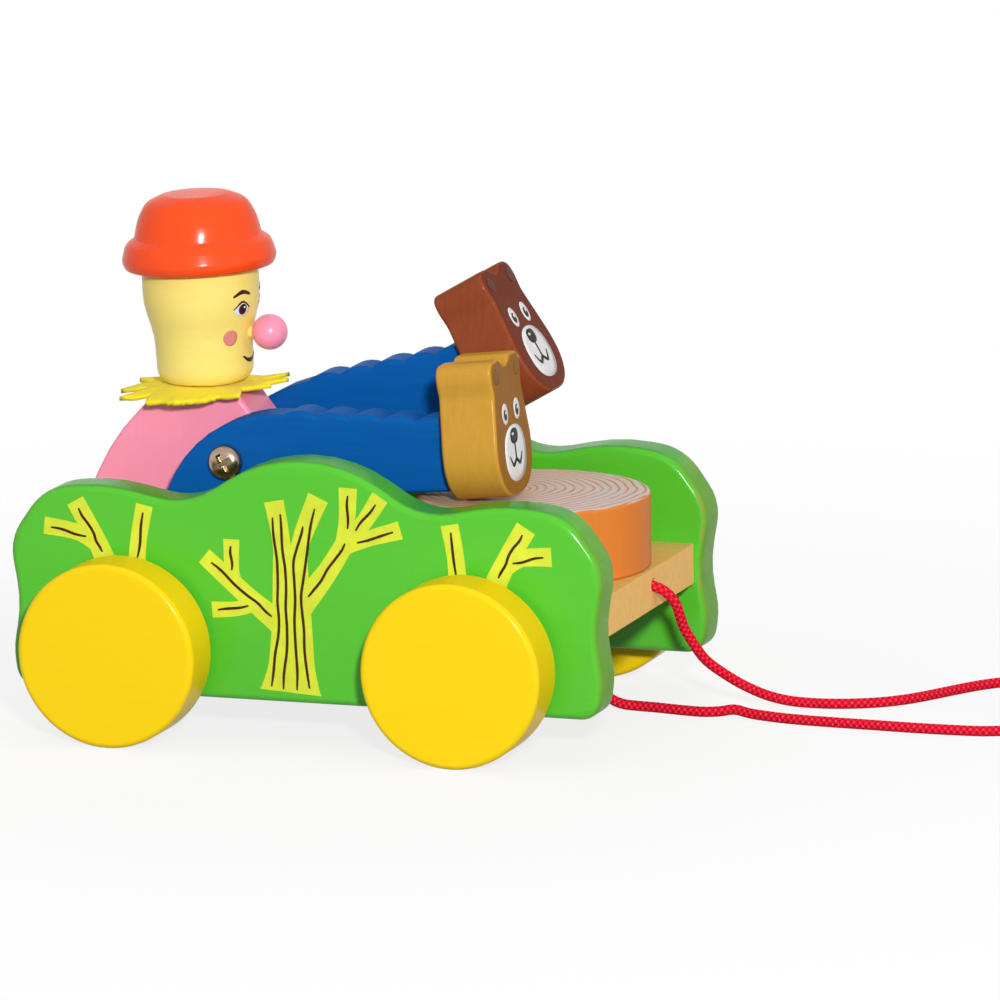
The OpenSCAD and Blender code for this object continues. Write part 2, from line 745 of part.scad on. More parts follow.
coil_wound = [for (i = [0:floor(coil_turns * coil_rings)]) coil_point(i / coil_rings)];
coil_end = coil_point(coil_turns);
coil_way_in = [sin(coil_first), -cos(coil_first), 0];
coil_way_out = [sin(coil_last), -cos(coil_last), 0];
coil_start = coil_wound[0] - cord_d * coil_way_in;
coil_finish = coil_end + cord_d * coil_way_out;
coil_path = concat([coil_start], coil_wound, [coil_end, coil_finish]);
coil_gap = min([for (i = [0:len(coil_wound) - 1], j = [i + 10:1:len(coil_wound) - 1])
    norm(coil_wound[i] - coil_wound[j])]) - cord_d;
echo(least_gap_in_the_coil = coil_gap);

// Strand from the deck's front edge to the coil
lead_front = [
    [75, cord_y, cord_z], [78.5, cord_y, cord_z], [81.3, 4.3, 36.8], [83.7, 4.9, 35.1],
    [85.3, 6, 32.6], [85.9, 7.6, 29.3], [86.5, 9.5, 25.3],
    [88.4, 11.7, 20.6], [91, 14.4, 15.6], [95.2, 18, 11.2], [99.8, 22, 7.3], [104.5, 26.2, 4.2],
    [109.4, 30, 2.2], [115, 32.4, 1.4], [121, 33, 1.4], [127, 35, 1.4], [133, 38.4, 1.4],
    [138.6, 44, 1.4], [143.4, 51.4, 1.4], [148, 59.6, 1.4], [153, 67.4, 1.4], [159, 73.4, 1.4],
    [166, 76.4, 1.4], [174, 76, 1.5], [182, 72.8, 1.8], coil_start - 8 * coil_way_in,
    coil_start - 0.05 * coil_way_in
];
// Strand from the deck's underside to the coil
lead_under = [
    [cord_down_x, cord_y, 35], [cord_down_x, cord_y, 29], [62, 4.8, 22], [62, 6.8, 15], [62.4, 9.8, 8.6],
    [64, 13.2, 3.9], [67, 15.2, 1.9], [71.4, 16, 1.4], [77, 15.4, 1.4], [83.4, 14.2, 1.4], [90, 13.6, 1.4],
    [95, 14.1, 1.7], [99, 14.7, 2.3], [104, 14, 1.6], [112, 12.2, 1.4], [120, 11, 1.4],
    [129, 10.5, 1.4], [139, 10.2, 1.4], [150, 9.8, 1.4], [161, 10, 1.4], [171, 11.2, 1.4],
    [181, 14.4, 1.9], [189.6, 19.4, 3.2], coil_finish + 8 * coil_way_out, coil_finish + 0.05 * coil_way_out
];

module cord_lead_front() color("crimson") tube(smooth(lead_front, 2), cord_d, 8);
module cord_lead_under() color("crimson") tube(smooth(lead_under, 2), cord_d, 8);
module cord_coil() color("crimson") tube(coil_path, cord_d, 6);

// Flat tie round the coil's turns
module cord_tie() {
    room = 0.3 + cord_d / 2;
    low = coil_inner - room - 0.4;
    high = coil_outer + room;
    top = coil_z + coil_layer + room;
    inner = [[low, tie_t, 1.5], [high, tie_t, 1.5], [high, top, 1.5], [low, top, 1.5]];
    outer = [[low - tie_t, 0, 2.2], [high + tie_t, 0, 2.2], [high + tie_t, top + tie_t, 2.2],
             [low - tie_t, top + tie_t, 2.2]];
    color("white") translate([coil_at.x, coil_at.y + tie_w / 2, 0]) rotate([90, 0, 0])
        linear_extrude(tie_w) difference() {
            polygon(outline(outer));
            polygon(outline(inner));
        }
}

side_panel_near();
side_panel_far();
deck();
panel_dowels();
stump();
stump_dowel();
driver_body();
body_dowels();
ruff();
driver_head();
neck_dowel();
driver_nose();
driver_hat();
hat_dowel();
pivot_screws();
rear_axle();
rear_wheel_near();
rear_wheel_far();
cam_near();
cam_far();
front_axle();
front_wheel_near();
front_wheel_far();
arm_near();
arm_far();
bear_head_near();
bear_head_far();
head_dowel_near();
head_dowel_far();
cord_lead_front();
cord_lead_under();
cord_coil();
cord_tie();
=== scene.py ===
"""Wooden pull-along toy with a driver and two bear-head hammers: looks, camera and studio.

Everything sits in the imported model's frame: X forward along the pull, Y to the far side, Z up.
Sizes are written in millimetres and multiplied by MM where Blender takes them.
"""

import math
import random

import bmesh
import bpy
from mathutils import Matrix, Vector
from mathutils.bvhtree import BVHTree


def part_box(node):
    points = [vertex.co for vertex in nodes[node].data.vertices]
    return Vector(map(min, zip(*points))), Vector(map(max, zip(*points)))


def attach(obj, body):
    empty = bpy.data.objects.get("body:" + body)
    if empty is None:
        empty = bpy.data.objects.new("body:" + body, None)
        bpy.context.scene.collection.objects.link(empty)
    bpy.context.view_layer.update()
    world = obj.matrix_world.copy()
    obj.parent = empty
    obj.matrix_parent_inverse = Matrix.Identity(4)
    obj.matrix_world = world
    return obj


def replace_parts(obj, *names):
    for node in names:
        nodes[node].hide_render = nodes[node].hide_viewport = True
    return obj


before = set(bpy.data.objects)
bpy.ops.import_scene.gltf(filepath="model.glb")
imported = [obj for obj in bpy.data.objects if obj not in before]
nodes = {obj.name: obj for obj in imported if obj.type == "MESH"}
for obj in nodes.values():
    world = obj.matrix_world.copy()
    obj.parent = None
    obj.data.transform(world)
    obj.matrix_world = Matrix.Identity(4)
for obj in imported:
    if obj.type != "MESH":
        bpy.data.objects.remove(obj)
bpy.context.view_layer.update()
scene = bpy.context.scene
MM = 0.001
NEAR, FAR = -1, 1
SIDE_NAMES = {NEAR: "near", FAR: "far"}


def low(node):
    """Lowest corner of a CAD node, in millimetres."""
    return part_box(node)[0] / MM


def high(node):
    """Highest corner of a CAD node, in millimetres."""
    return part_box(node)[1] / MM


def middle(node):
    """Middle of a CAD node's box, in millimetres."""
    return (low(node) + high(node)) / 2


def ramp(value, start, span):
    """0 up to a start, and 1 from a span further on."""
    return min(1, max(0, (value - start) / span))


# Hammers at rest: the arm's line over the pivot, the bears' thickness, and each side's reach, tilt and lift

ARM_AXIS = 5.0
BEAR_T = 16.0
BEAR_REACH = {NEAR: 64.2, FAR: 65.4}
BEAR_TILT = {NEAR: math.radians(6.5), FAR: math.radians(16)}
ARM_LIFT = {NEAR: 0.0, FAR: math.radians(14)}


# The bears' face directions, along which their paint is darkened as painted shade
def bear_front(side):
    """The way a bear's face looks, in the frame at rest."""
    lean = BEAR_TILT[side] + ARM_LIFT[side]
    return (math.cos(lean), 0, math.sin(lean))


# Camera: the photograph's viewing angle, with a long lens

CAM_AIM = Vector((30.14, 22.46, 54.72))
CAM_AZIMUTH = math.radians(19.07)
CAM_ELEVATION = math.radians(11.13)
CAM_ROLL = math.radians(-0.68)
CAM_DISTANCE = 3000
CAM_LENS = 398.4
CAM_SENSOR = 36
CAM_REACH = 20000


def make_camera():
    """Looks at the aim from its distance, turned by the roll."""
    right = Vector((math.cos(CAM_AZIMUTH), math.sin(CAM_AZIMUTH), 0))
    flat = math.cos(CAM_ELEVATION)
    back = Vector((math.sin(CAM_AZIMUTH) * flat, -math.cos(CAM_AZIMUTH) * flat, math.sin(CAM_ELEVATION)))
    up = back.cross(right)
    across = math.cos(CAM_ROLL) * right + math.sin(CAM_ROLL) * up
    over = math.cos(CAM_ROLL) * up - math.sin(CAM_ROLL) * right
    data = bpy.data.cameras.new("camera")
    data.lens = CAM_LENS
    data.sensor_width = CAM_SENSOR
    data.clip_end = CAM_REACH * MM
    camera = bpy.data.objects.new("camera", data)
    turn = Matrix((across, over, back)).transposed().to_4x4()
    turn.translation = (CAM_AIM + CAM_DISTANCE * back) * MM
    camera.matrix_world = turn
    scene.collection.objects.link(camera)
    scene.camera = camera


make_camera()


# Materials

MIX_FACTOR, MIX_A, MIX_B, MIX_RESULT = 0, 6, 7, 2


def linear(red, green, blue):
    """A colour given as screen values from 0 to 255, as linear RGBA."""
    def one(c):
        c /= 255
        return c / 12.92 if c <= 0.04045 else ((c + 0.055) / 1.055) ** 2.4
    return (one(red), one(green), one(blue), 1.0)


def scaled(colour, factor):
    """A colour made darker or lighter, and no more than white."""
    return tuple(min(1.0, c * factor) for c in colour[:3]) + (1.0,)


class Look:
    """A node material under construction, with one principled shader."""

    def __init__(self, name, ior=1.4, gloss=0.1, **constants):
        self.material = bpy.data.materials.new(name)
        self.material.use_nodes = True
        self.tree = self.material.node_tree
        self.shader = self.tree.nodes["Principled BSDF"]
        constants.update(IOR=ior, Specular_IOR_Level=gloss)
        for socket, value in constants.items():
            self.shader.inputs[socket.replace("_", " ")].default_value = value

    def add(self, kind, inputs=None, **settings):
        made = self.tree.nodes.new(kind)
        for key, value in settings.items():
            setattr(made, key, value)
        for key, value in (inputs or {}).items():
            self.join(value, made.inputs[key])
        return made

    def join(self, value, socket):
        if isinstance(value, bpy.types.NodeSocket):
            self.tree.links.new(value, socket)
        else:
            socket.default_value = value

    def to_shader(self, socket, value):
        self.join(value, self.shader.inputs[socket])

    def coords(self, kind="Object", scale=(1, 1, 1), location=(0, 0, 0)):
        source = self.add("ShaderNodeTexCoord").outputs[kind]
        inputs = {"Vector": source, "Scale": scale, "Location": location}
        return self.add("ShaderNodeMapping", inputs).outputs["Vector"]

    def noise(self, scale=1.0, detail=3.0, roughness=0.55, distortion=0.0, vector=None):
        inputs = {"Vector": vector or self.coords(), "Scale": scale, "Detail": detail,
                  "Roughness": roughness, "Distortion": distortion}
        return self.add("ShaderNodeTexNoise", inputs).outputs["Fac"]

    def streaks(self, grain, factor=1.0, **settings):
        """Noise that is drawn out along a grain."""
        return self.noise(vector=self.coords(scale=tuple(c * factor for c in grain)), **settings)

    def ranged(self, value, band, to=(0.0, 1.0)):
        """Where a value lies in a band, from 0 to 1 or on another scale."""
        inputs = {"Value": value, "From Min": band[0], "From Max": band[1], "To Min": to[0], "To Max": to[1]}
        return self.add("ShaderNodeMapRange", inputs).outputs["Result"]

    def math(self, operation, a, b=0.0):
        return self.add("ShaderNodeMath", {0: a, 1: b}, operation=operation).outputs[0]

    def mix(self, factor, a, b, blend="MIX"):
        inputs = {MIX_FACTOR: factor, MIX_A: a, MIX_B: b}
        made = self.add("ShaderNodeMix", inputs, data_type="RGBA", blend_type=blend)
        return made.outputs[MIX_RESULT]

    def shades(self, pattern, band, colour, first, last):
        """A colour that goes from one share of itself to another as a pattern goes through a band."""
        return self.mix(self.ranged(pattern, band), scaled(colour, first), scaled(colour, last))

    def roughness(self, pattern, least, most):
        self.to_shader("Roughness", self.ranged(pattern, (0.3, 0.7), (least, most)))

    def split(self, vector):
        return self.add("ShaderNodeSeparateXYZ", {"Vector": vector}).outputs

    def facing(self, direction):
        """How far the surface looks in a direction of the frame at rest, from -1 to 1."""
        normal = self.add("ShaderNodeTexCoord").outputs["Normal"]
        made = self.add("ShaderNodeVectorMath", {0: normal, 1: direction}, operation="DOT_PRODUCT")
        return made.outputs["Value"]

    def distance(self, point):
        """How far the surface lies from a point in millimetres of the frame at rest, in metres."""
        offset = self.coords(location=tuple(-c * MM for c in point))
        return self.add("ShaderNodeVectorMath", {0: offset}, operation="LENGTH").outputs["Value"]

    def bump(self, height, strength, distance):
        inputs = {"Height": height, "Strength": strength, "Distance": distance * MM}
        self.to_shader("Normal", self.add("ShaderNodeBump", inputs).outputs["Normal"])


# Noise scales that draw streaks out along one axis, and directions
ALONG_X, ALONG_Y, ALONG_Z = (60, 900, 900), (900, 60, 900), (900, 900, 60)
LENGTHWISE, UP = (1, 0, 0), (0, 0, 1)
CREAM = linear(248, 224, 120)


def painted(name, colour, grain=ALONG_X, *, tone, relief, rough=0.3, coat=0.1, gloss=0.1, edge=None,
            front=None, scuff=None):
    """Brushed paint on wood: faint streaks along the grain, a mottled gloss and worn ends.

    tone is how much the streaks differ, and relief is how far they stand out. edge is the duller colour of a
    board's ends, and scuff, which needs it, is the wood that shows where their rounding is worn. front is a
    direction and a darker colour for what faces it, as painted shade where less light falls.
    """
    look = Look(name, gloss=gloss, Coat_Weight=coat, Coat_IOR=2.0, Coat_Roughness=0.16)
    streaks = look.streaks(grain, detail=5.0, roughness=0.62)
    clouds = look.noise(70.0)

    def brushed(paint):
        return look.shades(streaks, (0.32, 0.7), paint, 1 - tone, 1 + tone * 0.7)

    cloudy = look.ranged(clouds, (0.35, 0.75), (0.0, 0.22))
    base = look.mix(cloudy, brushed(colour), scaled(colour, 1 - 2 * tone))
    if edge:
        end = look.ranged(look.math("ABSOLUTE", look.facing(LENGTHWISE)), (0.4, 0.85))
        worn = look.shades(look.noise(190.0, detail=4.0), (0.4, 0.75), edge, 1.0, 0.86)
        base = look.mix(end, base, worn)
        look.to_shader("Coat Weight", look.ranged(end, (0.0, 1.0), (coat, 0.0)))
    # Painted shade: what faces the front direction gets a darker copy of the paint
    if front:
        direction, paint = front
        base = look.mix(look.ranged(look.facing(direction), (0.75, 0.95)), base, brushed(paint))
    if scuff:
        past_face = look.ranged(end, (0.02, 0.2))
        before_end = look.ranged(end, (0.75, 0.98), (1.0, 0.0))
        rounding = look.math("MULTIPLY", past_face, before_end)
        patches = look.ranged(look.noise(62.0, detail=5.0, roughness=0.7), (0.54, 0.62), (0.0, 0.7))
        base = look.mix(look.math("MULTIPLY", rounding, patches), base, scuff)
    look.to_shader("Base Color", base)
    look.roughness(clouds, rough - 0.06, rough + 0.1)
    look.bump(look.math("ADD", streaks, look.noise(900.0, detail=2.0)), relief, 0.25)
    return look.material


def nose_paint():
    """Pink ball; what shows of its peg is painted over with the head's cream."""
    look = Look("nose_pink", Coat_Weight=0.3, Coat_IOR=2.0, Coat_Roughness=0.3, Roughness=0.3)
    first, last = low("driver_nose"), high("driver_nose")
    radius = (last.y - first.y) / 2
    ball = (last.x - radius, middle("driver_nose").y, first.z + radius)
    pink = look.mix(look.ranged(look.noise(160.0), (0.35, 0.7)), linear(250, 146, 176), linear(255, 158, 186))
    peg = look.ranged(look.distance(ball), ((radius + 0.05) * MM, (radius + 0.15) * MM))
    look.to_shader("Base Color", look.mix(peg, pink, CREAM))
    return look.material


def bare_wood(name, light, dark, grain=ALONG_X, top=None):
    """Sanded wood with long streaks and fine pores along the grain; top tints what faces up."""
    look = Look(name)
    streaks = look.streaks(grain, 0.45, detail=6.0, roughness=0.65, distortion=0.4)
    pores = look.streaks(grain, 2.5)
    base = look.mix(look.ranged(streaks, (0.35, 0.68)), light, dark)
    base = look.mix(look.ranged(pores, (0.6, 0.75), (0.0, 0.16)), base, scaled(dark, 0.75))
    # Painted shade and painted reflected light: what faces up is multiplied by the top tint
    if top:
        base = look.mix(look.ranged(look.facing(UP), (0.6, 0.9)), base, top, blend="MULTIPLY")
    look.to_shader("Base Color", base)
    look.roughness(streaks, 0.47, 0.65)
    look.bump(pores, 0.15, 0.2)
    return look.material


# The rings' heart, from the stump's middle, and the rings
HEART_X, HEART_Y = -6, 2
RING_STEP, RING_OVAL, RING_WOBBLE = 2.3, 1.06, 1.9
TOP_FADE = (-12 * MM, 22 * MM)


def stump_wood():
    """Orange paint round the side, and year rings printed on a pale top that fades to grey in front."""
    side, ring = linear(222, 127, 50), linear(205, 128, 70)
    rear, front = linear(206, 182, 154), linear(207, 194, 190)
    look = Look("stump_paint", Coat_Weight=0.08, Coat_Roughness=0.25)
    heart = middle("stump") + Vector((HEART_X, HEART_Y, 0))
    from_heart = look.split(look.coords(location=(-heart.x * MM, -heart.y * MM, 0)))
    across = look.math("MULTIPLY", from_heart["X"], 1 / MM)
    depth = look.math("MULTIPLY", from_heart["Y"], RING_OVAL / MM)
    squares = [look.math("POWER", length, 2.0) for length in (across, depth)]
    radius = look.math("SQRT", look.math("ADD", *squares))
    wobble = look.ranged(look.noise(42.0, detail=2.0), (0.2, 0.8), (-RING_WOBBLE, RING_WOBBLE))
    phase = look.math("MULTIPLY", look.math("ADD", radius, wobble), 2 * math.pi / RING_STEP)
    lines = look.ranged(look.math("SINE", phase), (0.25, 0.9))
    broken = look.ranged(look.noise(95.0, detail=2.0), (0.28, 0.5), (0.35, 1.0))
    pale = look.mix(look.ranged(from_heart["X"], TOP_FADE), rear, front)
    top = look.mix(look.math("MULTIPLY", lines, broken), pale, ring)
    streaks = look.streaks(ALONG_Z, detail=5.0, roughness=0.6)
    bark = look.shades(streaks, (0.3, 0.75), side, 0.96, 1.03)
    look.to_shader("Base Color", look.mix(look.ranged(look.facing(UP), (0.6, 0.8)), bark, top))
    look.roughness(streaks, 0.4, 0.55)
    look.bump(streaks, 0.04, 0.2)
    return look.material


def felt(name, colour):
    """Matted fibres: uneven colour, a soft sheen and a fuzzy relief."""
    look = Look(name, Roughness=0.95, Sheen_Weight=0.1, Sheen_Roughness=0.5)
    fuzz = look.noise(1600.0, detail=5.0, roughness=0.7)
    clumps = look.noise(260.0)
    base = look.shades(fuzz, (0.35, 0.7), colour, 0.93, 1.05)
    base = look.mix(look.ranged(clumps, (0.4, 0.7), (0.0, 0.3)), base, scaled(colour, 0.93))
    look.to_shader("Base Color", base)
    look.bump(look.math("ADD", fuzz, clumps), 0.5, 0.4)
    return look.material


BRAID_STEP, BRAID_STRANDS = 1.7, 4


def braid(name, colour, crest_highlight):
    """Round braid from the cord's own UV map: U counts millimetres along it, V runs once round."""
    look = Look(name, gloss=0.15, Roughness=0.65)
    parts = look.split(look.add("ShaderNodeTexCoord").outputs["UV"])
    along = look.math("MULTIPLY", parts["X"], 2 * math.pi / BRAID_STEP)
    around = look.math("MULTIPLY", parts["Y"], 2 * math.pi * BRAID_STRANDS)
    one_way = look.math("SINE", look.math("ADD", along, around))
    other_way = look.math("SINE", look.math("SUBTRACT", along, around))
    height = look.ranged(look.math("MAXIMUM", one_way, other_way), (-0.5, 1.0))
    crossing = look.ranged(look.math("MINIMUM", one_way, other_way), (0.35, 0.9))
    # Painted shade: the braid darkens to 0.55 of its colour in the hollows between strands
    base = look.shades(height, (0.1, 0.7), colour, 0.55, 1.0)
    threads = look.noise(detail=2.0, vector=look.coords("UV", scale=(1.1, 5, 1)))
    tufts = look.ranged(threads, (0.35, 0.65), (0.25, 0.9))
    # Painted highlight: the crests where both strands stand high get a lighter pink
    look.to_shader("Base Color", look.mix(look.math("MULTIPLY", crossing, tufts), base, crest_highlight))
    look.bump(height, 0.5, 0.3)
    return look.material


def metal(name, colour, rough):
    """Plated metal with a patchy haze."""
    look = Look(name, ior=1.8, gloss=0.5, Metallic=1.0)
    haze = look.noise(420.0, detail=4.0)
    look.to_shader("Base Color", look.shades(haze, (0.35, 0.7), colour, 1.0, 0.72))
    look.roughness(haze, rough - 0.06, rough + 0.1)
    look.bump(look.noise(1500.0, detail=2.0), 0.05, 0.1)
    return look.material


def print_ink(name, colour, rough=0.4):
    """Printed colour, a little uneven, so that it isn't one flat tone."""
    look = Look(name, Coat_Weight=0.1, Coat_Roughness=0.2)
    clouds = look.noise(240.0, detail=4.0)
    look.to_shader("Base Color", look.shades(clouds, (0.35, 0.7), colour, 0.93, 1.04))
    look.roughness(clouds, rough - 0.05, rough + 0.1)
    return look.material


# The panels' up-facing tops get a darker green through front: painted shade
panel_green = painted("panel_green", linear(84, 190, 46), tone=0.015, relief=0.015, coat=0.14,
                      edge=linear(108, 170, 52), front=(UP, linear(60, 156, 33)), scuff=linear(164, 144, 72))
wheel_yellow = painted("wheel_yellow", linear(246, 208, 14), tone=0.012, relief=0.02, rough=0.34, coat=0.06)
body_pink = painted("body_pink", linear(255, 150, 178), ALONG_Z, tone=0.02, relief=0.02, rough=0.32)
head_cream = painted("head_cream", CREAM, tone=0.02, relief=0.02, coat=0.12)
nose_pink = nose_paint()
hat_orange = painted("hat_orange", linear(250, 78, 22), tone=0.04, relief=0.12, rough=0.26, coat=0.12)
arm_blue = painted("arm_blue", linear(10, 90, 168), tone=0.08, relief=0.1, rough=0.5, coat=0.02, gloss=0.03,
                   edge=linear(14, 94, 172))
# The bears' faces get a darker copy of their paint through front: painted shade
bear_tan = painted("bear_tan", linear(200, 149, 55), ALONG_Z, tone=0.06, relief=0.05, rough=0.45,
                   coat=0.06, gloss=0.03, front=(bear_front(NEAR), linear(156, 104, 32)))
bear_brown = painted("bear_brown", linear(142, 68, 38), ALONG_Z, tone=0.12, relief=0.06, rough=0.45,
                     coat=0.06, gloss=0.03, front=(bear_front(FAR), linear(114, 48, 26)))
# The deck's top tint is painted shade and painted green light reflected from the panels
deck_wood = bare_wood("deck_wood", linear(254, 207, 128), linear(248, 195, 114), top=(0.8, 0.86, 0.7, 1.0))
dowel_wood = bare_wood("dowel_wood", linear(226, 190, 138), linear(202, 158, 104), ALONG_Y)
stump_paint = stump_wood()
felt_yellow = felt("felt_yellow", linear(255, 232, 44))
# The cord's second colour is a painted highlight on the braid's crests
cord_red = braid("cord_red", linear(236, 20, 50), linear(246, 116, 130))
screw_metal = metal("screw_metal", linear(186, 160, 138), 0.24)
tie_white = print_ink("tie_white", linear(236, 236, 232), 0.5)
ink_lime = print_ink("ink_lime", linear(214, 226, 62))
ink_brown = print_ink("ink_brown", linear(70, 34, 22))
ink_dark = print_ink("ink_dark", linear(34, 26, 24))
ink_white = print_ink("ink_white", linear(236, 234, 236))
ink_rose = print_ink("ink_rose", linear(232, 140, 130))
ink_ear_near = print_ink("ink_ear_near", linear(132, 84, 26))
ink_ear_far = print_ink("ink_ear_far", linear(92, 38, 22))

NODE_LOOKS = {
    panel_green: ["side_panel_near", "side_panel_far"],
    wheel_yellow: ["rear_wheel_near", "rear_wheel_far", "front_wheel_near", "front_wheel_far"],
    body_pink: ["driver_body"],
    head_cream: ["driver_head"],
    nose_pink: ["driver_nose"],
    hat_orange: ["driver_hat"],
    arm_blue: ["arm_near", "arm_far"],
    bear_tan: ["bear_head_near"],
    bear_brown: ["bear_head_far"],
    deck_wood: ["deck"],
    stump_paint: ["stump"],
    tie_white: ["cord_tie"],
    dowel_wood: ["rear_axle", "front_axle", "cam_near", "cam_far", "panel_dowels", "stump_dowel",
                 "body_dowels", "neck_dowel", "hat_dowel", "head_dowel_near", "head_dowel_far"],
}
SMOOTH_ANGLE = math.radians(38)
WELD_GAP = 0.002
FACE_WEIGHT = 100


def dress_nodes():
    """Gives each CAD node its material, and smooth shading that keeps flat faces flat."""
    for material, names in NODE_LOOKS.items():
        for name in names:
            node = nodes[name]
            node.data.materials.clear()
            node.data.materials.append(material)
            for spare in [a for a in node.data.attributes if a.name == "custom_normal"]:
                node.data.attributes.remove(spare)
            node.data.polygons.foreach_set("use_smooth", [True] * len(node.data.polygons))
            weld = node.modifiers.new("weld", "WELD")
            weld.merge_threshold = WELD_GAP * MM
            split = node.modifiers.new("sharp", "EDGE_SPLIT")
            split.split_angle = SMOOTH_ANGLE
            weighted = node.modifiers.new("weighted", "WEIGHTED_NORMAL")
            weighted.weight = FACE_WEIGHT


dress_nodes()


# Pieces


def add_piece(name, mesh, material, body, slot, smooth=True):
    """A mesh as a piece of the object, riding on a body."""
    mesh.materials.append(material)
    mesh.polygons.foreach_set("use_smooth", [smooth] * len(mesh.polygons))
    made = bpy.data.objects.new(name, mesh)
    scene.collection.objects.link(made)
    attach(made, body)
    return made


def piece(name, points, faces, material, body, slot, smooth=True):
    """A piece from points in millimetres, with its faces turned outward."""
    mesh = bpy.data.meshes.new(name)
    mesh.from_pydata([Vector(p) * MM for p in points], [], faces)
    shell = bmesh.new()
    shell.from_mesh(mesh)
    bmesh.ops.recalc_face_normals(shell, faces=shell.faces)
    shell.to_mesh(mesh)
    shell.free()
    return add_piece(name, mesh, material, body, slot, smooth)


def slab(shapes, place, top):
    """Closed points and faces of flat shapes (points in 2-D, tiles), laid by place(u, v, height)."""
    points, faces = [], []
    for flat, tiles in shapes:
        lower = len(points)
        upper = lower + len(flat)
        points += [place(u, v, 0.0) for u, v in flat]
        points += [place(u, v, top) for u, v in flat]
        edges = [edge for tile in tiles for edge in zip(tile, tile[1:] + tile[:1])]
        shared = {(b, a) for a, b in edges}
        for tile in tiles:
            faces.append([upper + i for i in tile])
            faces.append([lower + i for i in reversed(tile)])
        for a, b in edges:
            if (a, b) not in shared:
                faces.append([lower + a, lower + b, upper + b, upper + a])
    return points, faces


BLOB_RINGS, BLOB_SIDES = 4, 32


def blob(u, v, half_u, half_v, power=2.0):
    """A filled ellipse, or a squarer one for a larger power."""
    def rounded(c):
        return math.copysign(abs(c) ** (2 / power), c)

    flat, tiles = [(u, v)], []
    for k in range(1, BLOB_RINGS + 1):
        for i in range(BLOB_SIDES):
            angle = 2 * math.pi * i / BLOB_SIDES
            x = half_u * rounded(math.cos(angle)) * k / BLOB_RINGS
            y = half_v * rounded(math.sin(angle)) * k / BLOB_RINGS
            flat.append((u + x, v + y))
    for i in range(BLOB_SIDES):
        j = (i + 1) % BLOB_SIDES
        tiles.append([0, 1 + i, 1 + j])
        for k in range(BLOB_RINGS - 1):
            inner = 1 + k * BLOB_SIDES
            outer = inner + BLOB_SIDES
            tiles.append([inner + i, outer + i, outer + j, inner + j])
    return flat, tiles


def blobs(places, size, shift=(0, 0)):
    """The same ellipse at each place, moved by a shift."""
    return [blob(u + shift[0], v + shift[1], *size) for u, v in places]


def spline(points, steps):
    """A smooth curve through points, with a number of steps between each two."""
    made = []
    for i in range(len(points) - 1):
        a, b = Vector(points[max(i - 1, 0)]), Vector(points[i])
        c, d = Vector(points[i + 1]), Vector(points[min(i + 2, len(points) - 1)])
        for k in range(steps):
            t = k / steps
            made.append(b + 0.5 * t * (c - a + t * (2 * a - 5 * b + 4 * c - d + t * (3 * (b - c) + d - a))))
    return made + [Vector(points[-1])]


def way_at(path, i):
    """The direction of a path at one of its points."""
    return (path[min(i + 1, len(path) - 1)] - path[max(i - 1, 0)]).normalized()


# A ribbon's steps between points, and where it stops reading widths, just short of the last
RIBBON_STEPS = 6
RIBBON_END = 1.001


def ribbon(points, widths):
    """A band along a smooth curve; widths change evenly from point to point."""
    path = spline(points, RIBBON_STEPS)
    flat, tiles = [], []
    for i, p in enumerate(path):
        way = way_at(path, i)
        at = min(i / RIBBON_STEPS, len(points) - RIBBON_END)
        k = int(at)
        half = (widths[k] + (widths[k + 1] - widths[k]) * (at - k)) / 2
        side = Vector((-way.y, way.x)) * half
        flat += [tuple(p + side), tuple(p - side)]
        if i:
            tiles.append([2 * i - 2, 2 * i - 1, 2 * i + 1, 2 * i])
    return flat, tiles


# Pull cord: the routes of the source, from the deck's front edge over the coil to the underside

CORD_D = 2.8
CORD_Y = 4
CORD_OVER_MIDDLE = 0.8
CORD_Z = middle("deck").z + CORD_OVER_MIDDLE
CORD_DOWN_X = 62
COIL_AT = Vector((190, 46, 0))
COIL_D = 28.8
COIL_PITCH = COIL_LAYER = 3.3
COIL_Z = 2.5
COIL_FIRST, COIL_LAST = math.radians(62), math.radians(-45)
COIL_LOOPS = 7
COIL_TURNS = COIL_LOOPS + (COIL_FIRST - COIL_LAST) / (2 * math.pi)
CLIMB_TURNS, CLIMB_DIP = 0.5, 0.8
COIL_IN_TURNS = (COIL_TURNS - CLIMB_TURNS) / 2
COIL_INNER = COIL_D / 2 - COIL_PITCH * COIL_IN_TURNS / 2
COIL_RINGS = 40
LEAD_L = 8
LEAD_STEPS = 8
CORD_STEP, CORD_SIDES = 0.9, 14


def coil_point(turns):
    """The coil after some turns: it winds in on the lower layer, climbs, and winds out on the upper."""
    angle = COIL_FIRST - 2 * math.pi * turns
    climb = ramp(turns, COIL_IN_TURNS, CLIMB_TURNS)
    if climb < 1:
        radius = COIL_INNER + COIL_PITCH * max(0, COIL_IN_TURNS - turns)
        radius -= CLIMB_DIP * math.sin(math.pi * climb)
    else:
        radius = COIL_INNER + COIL_PITCH * (turns - COIL_IN_TURNS - CLIMB_TURNS)
    rise = COIL_LAYER * (1 - math.cos(math.pi * climb)) / 2
    return COIL_AT + Vector((radius * math.cos(angle), radius * math.sin(angle), COIL_Z + rise))


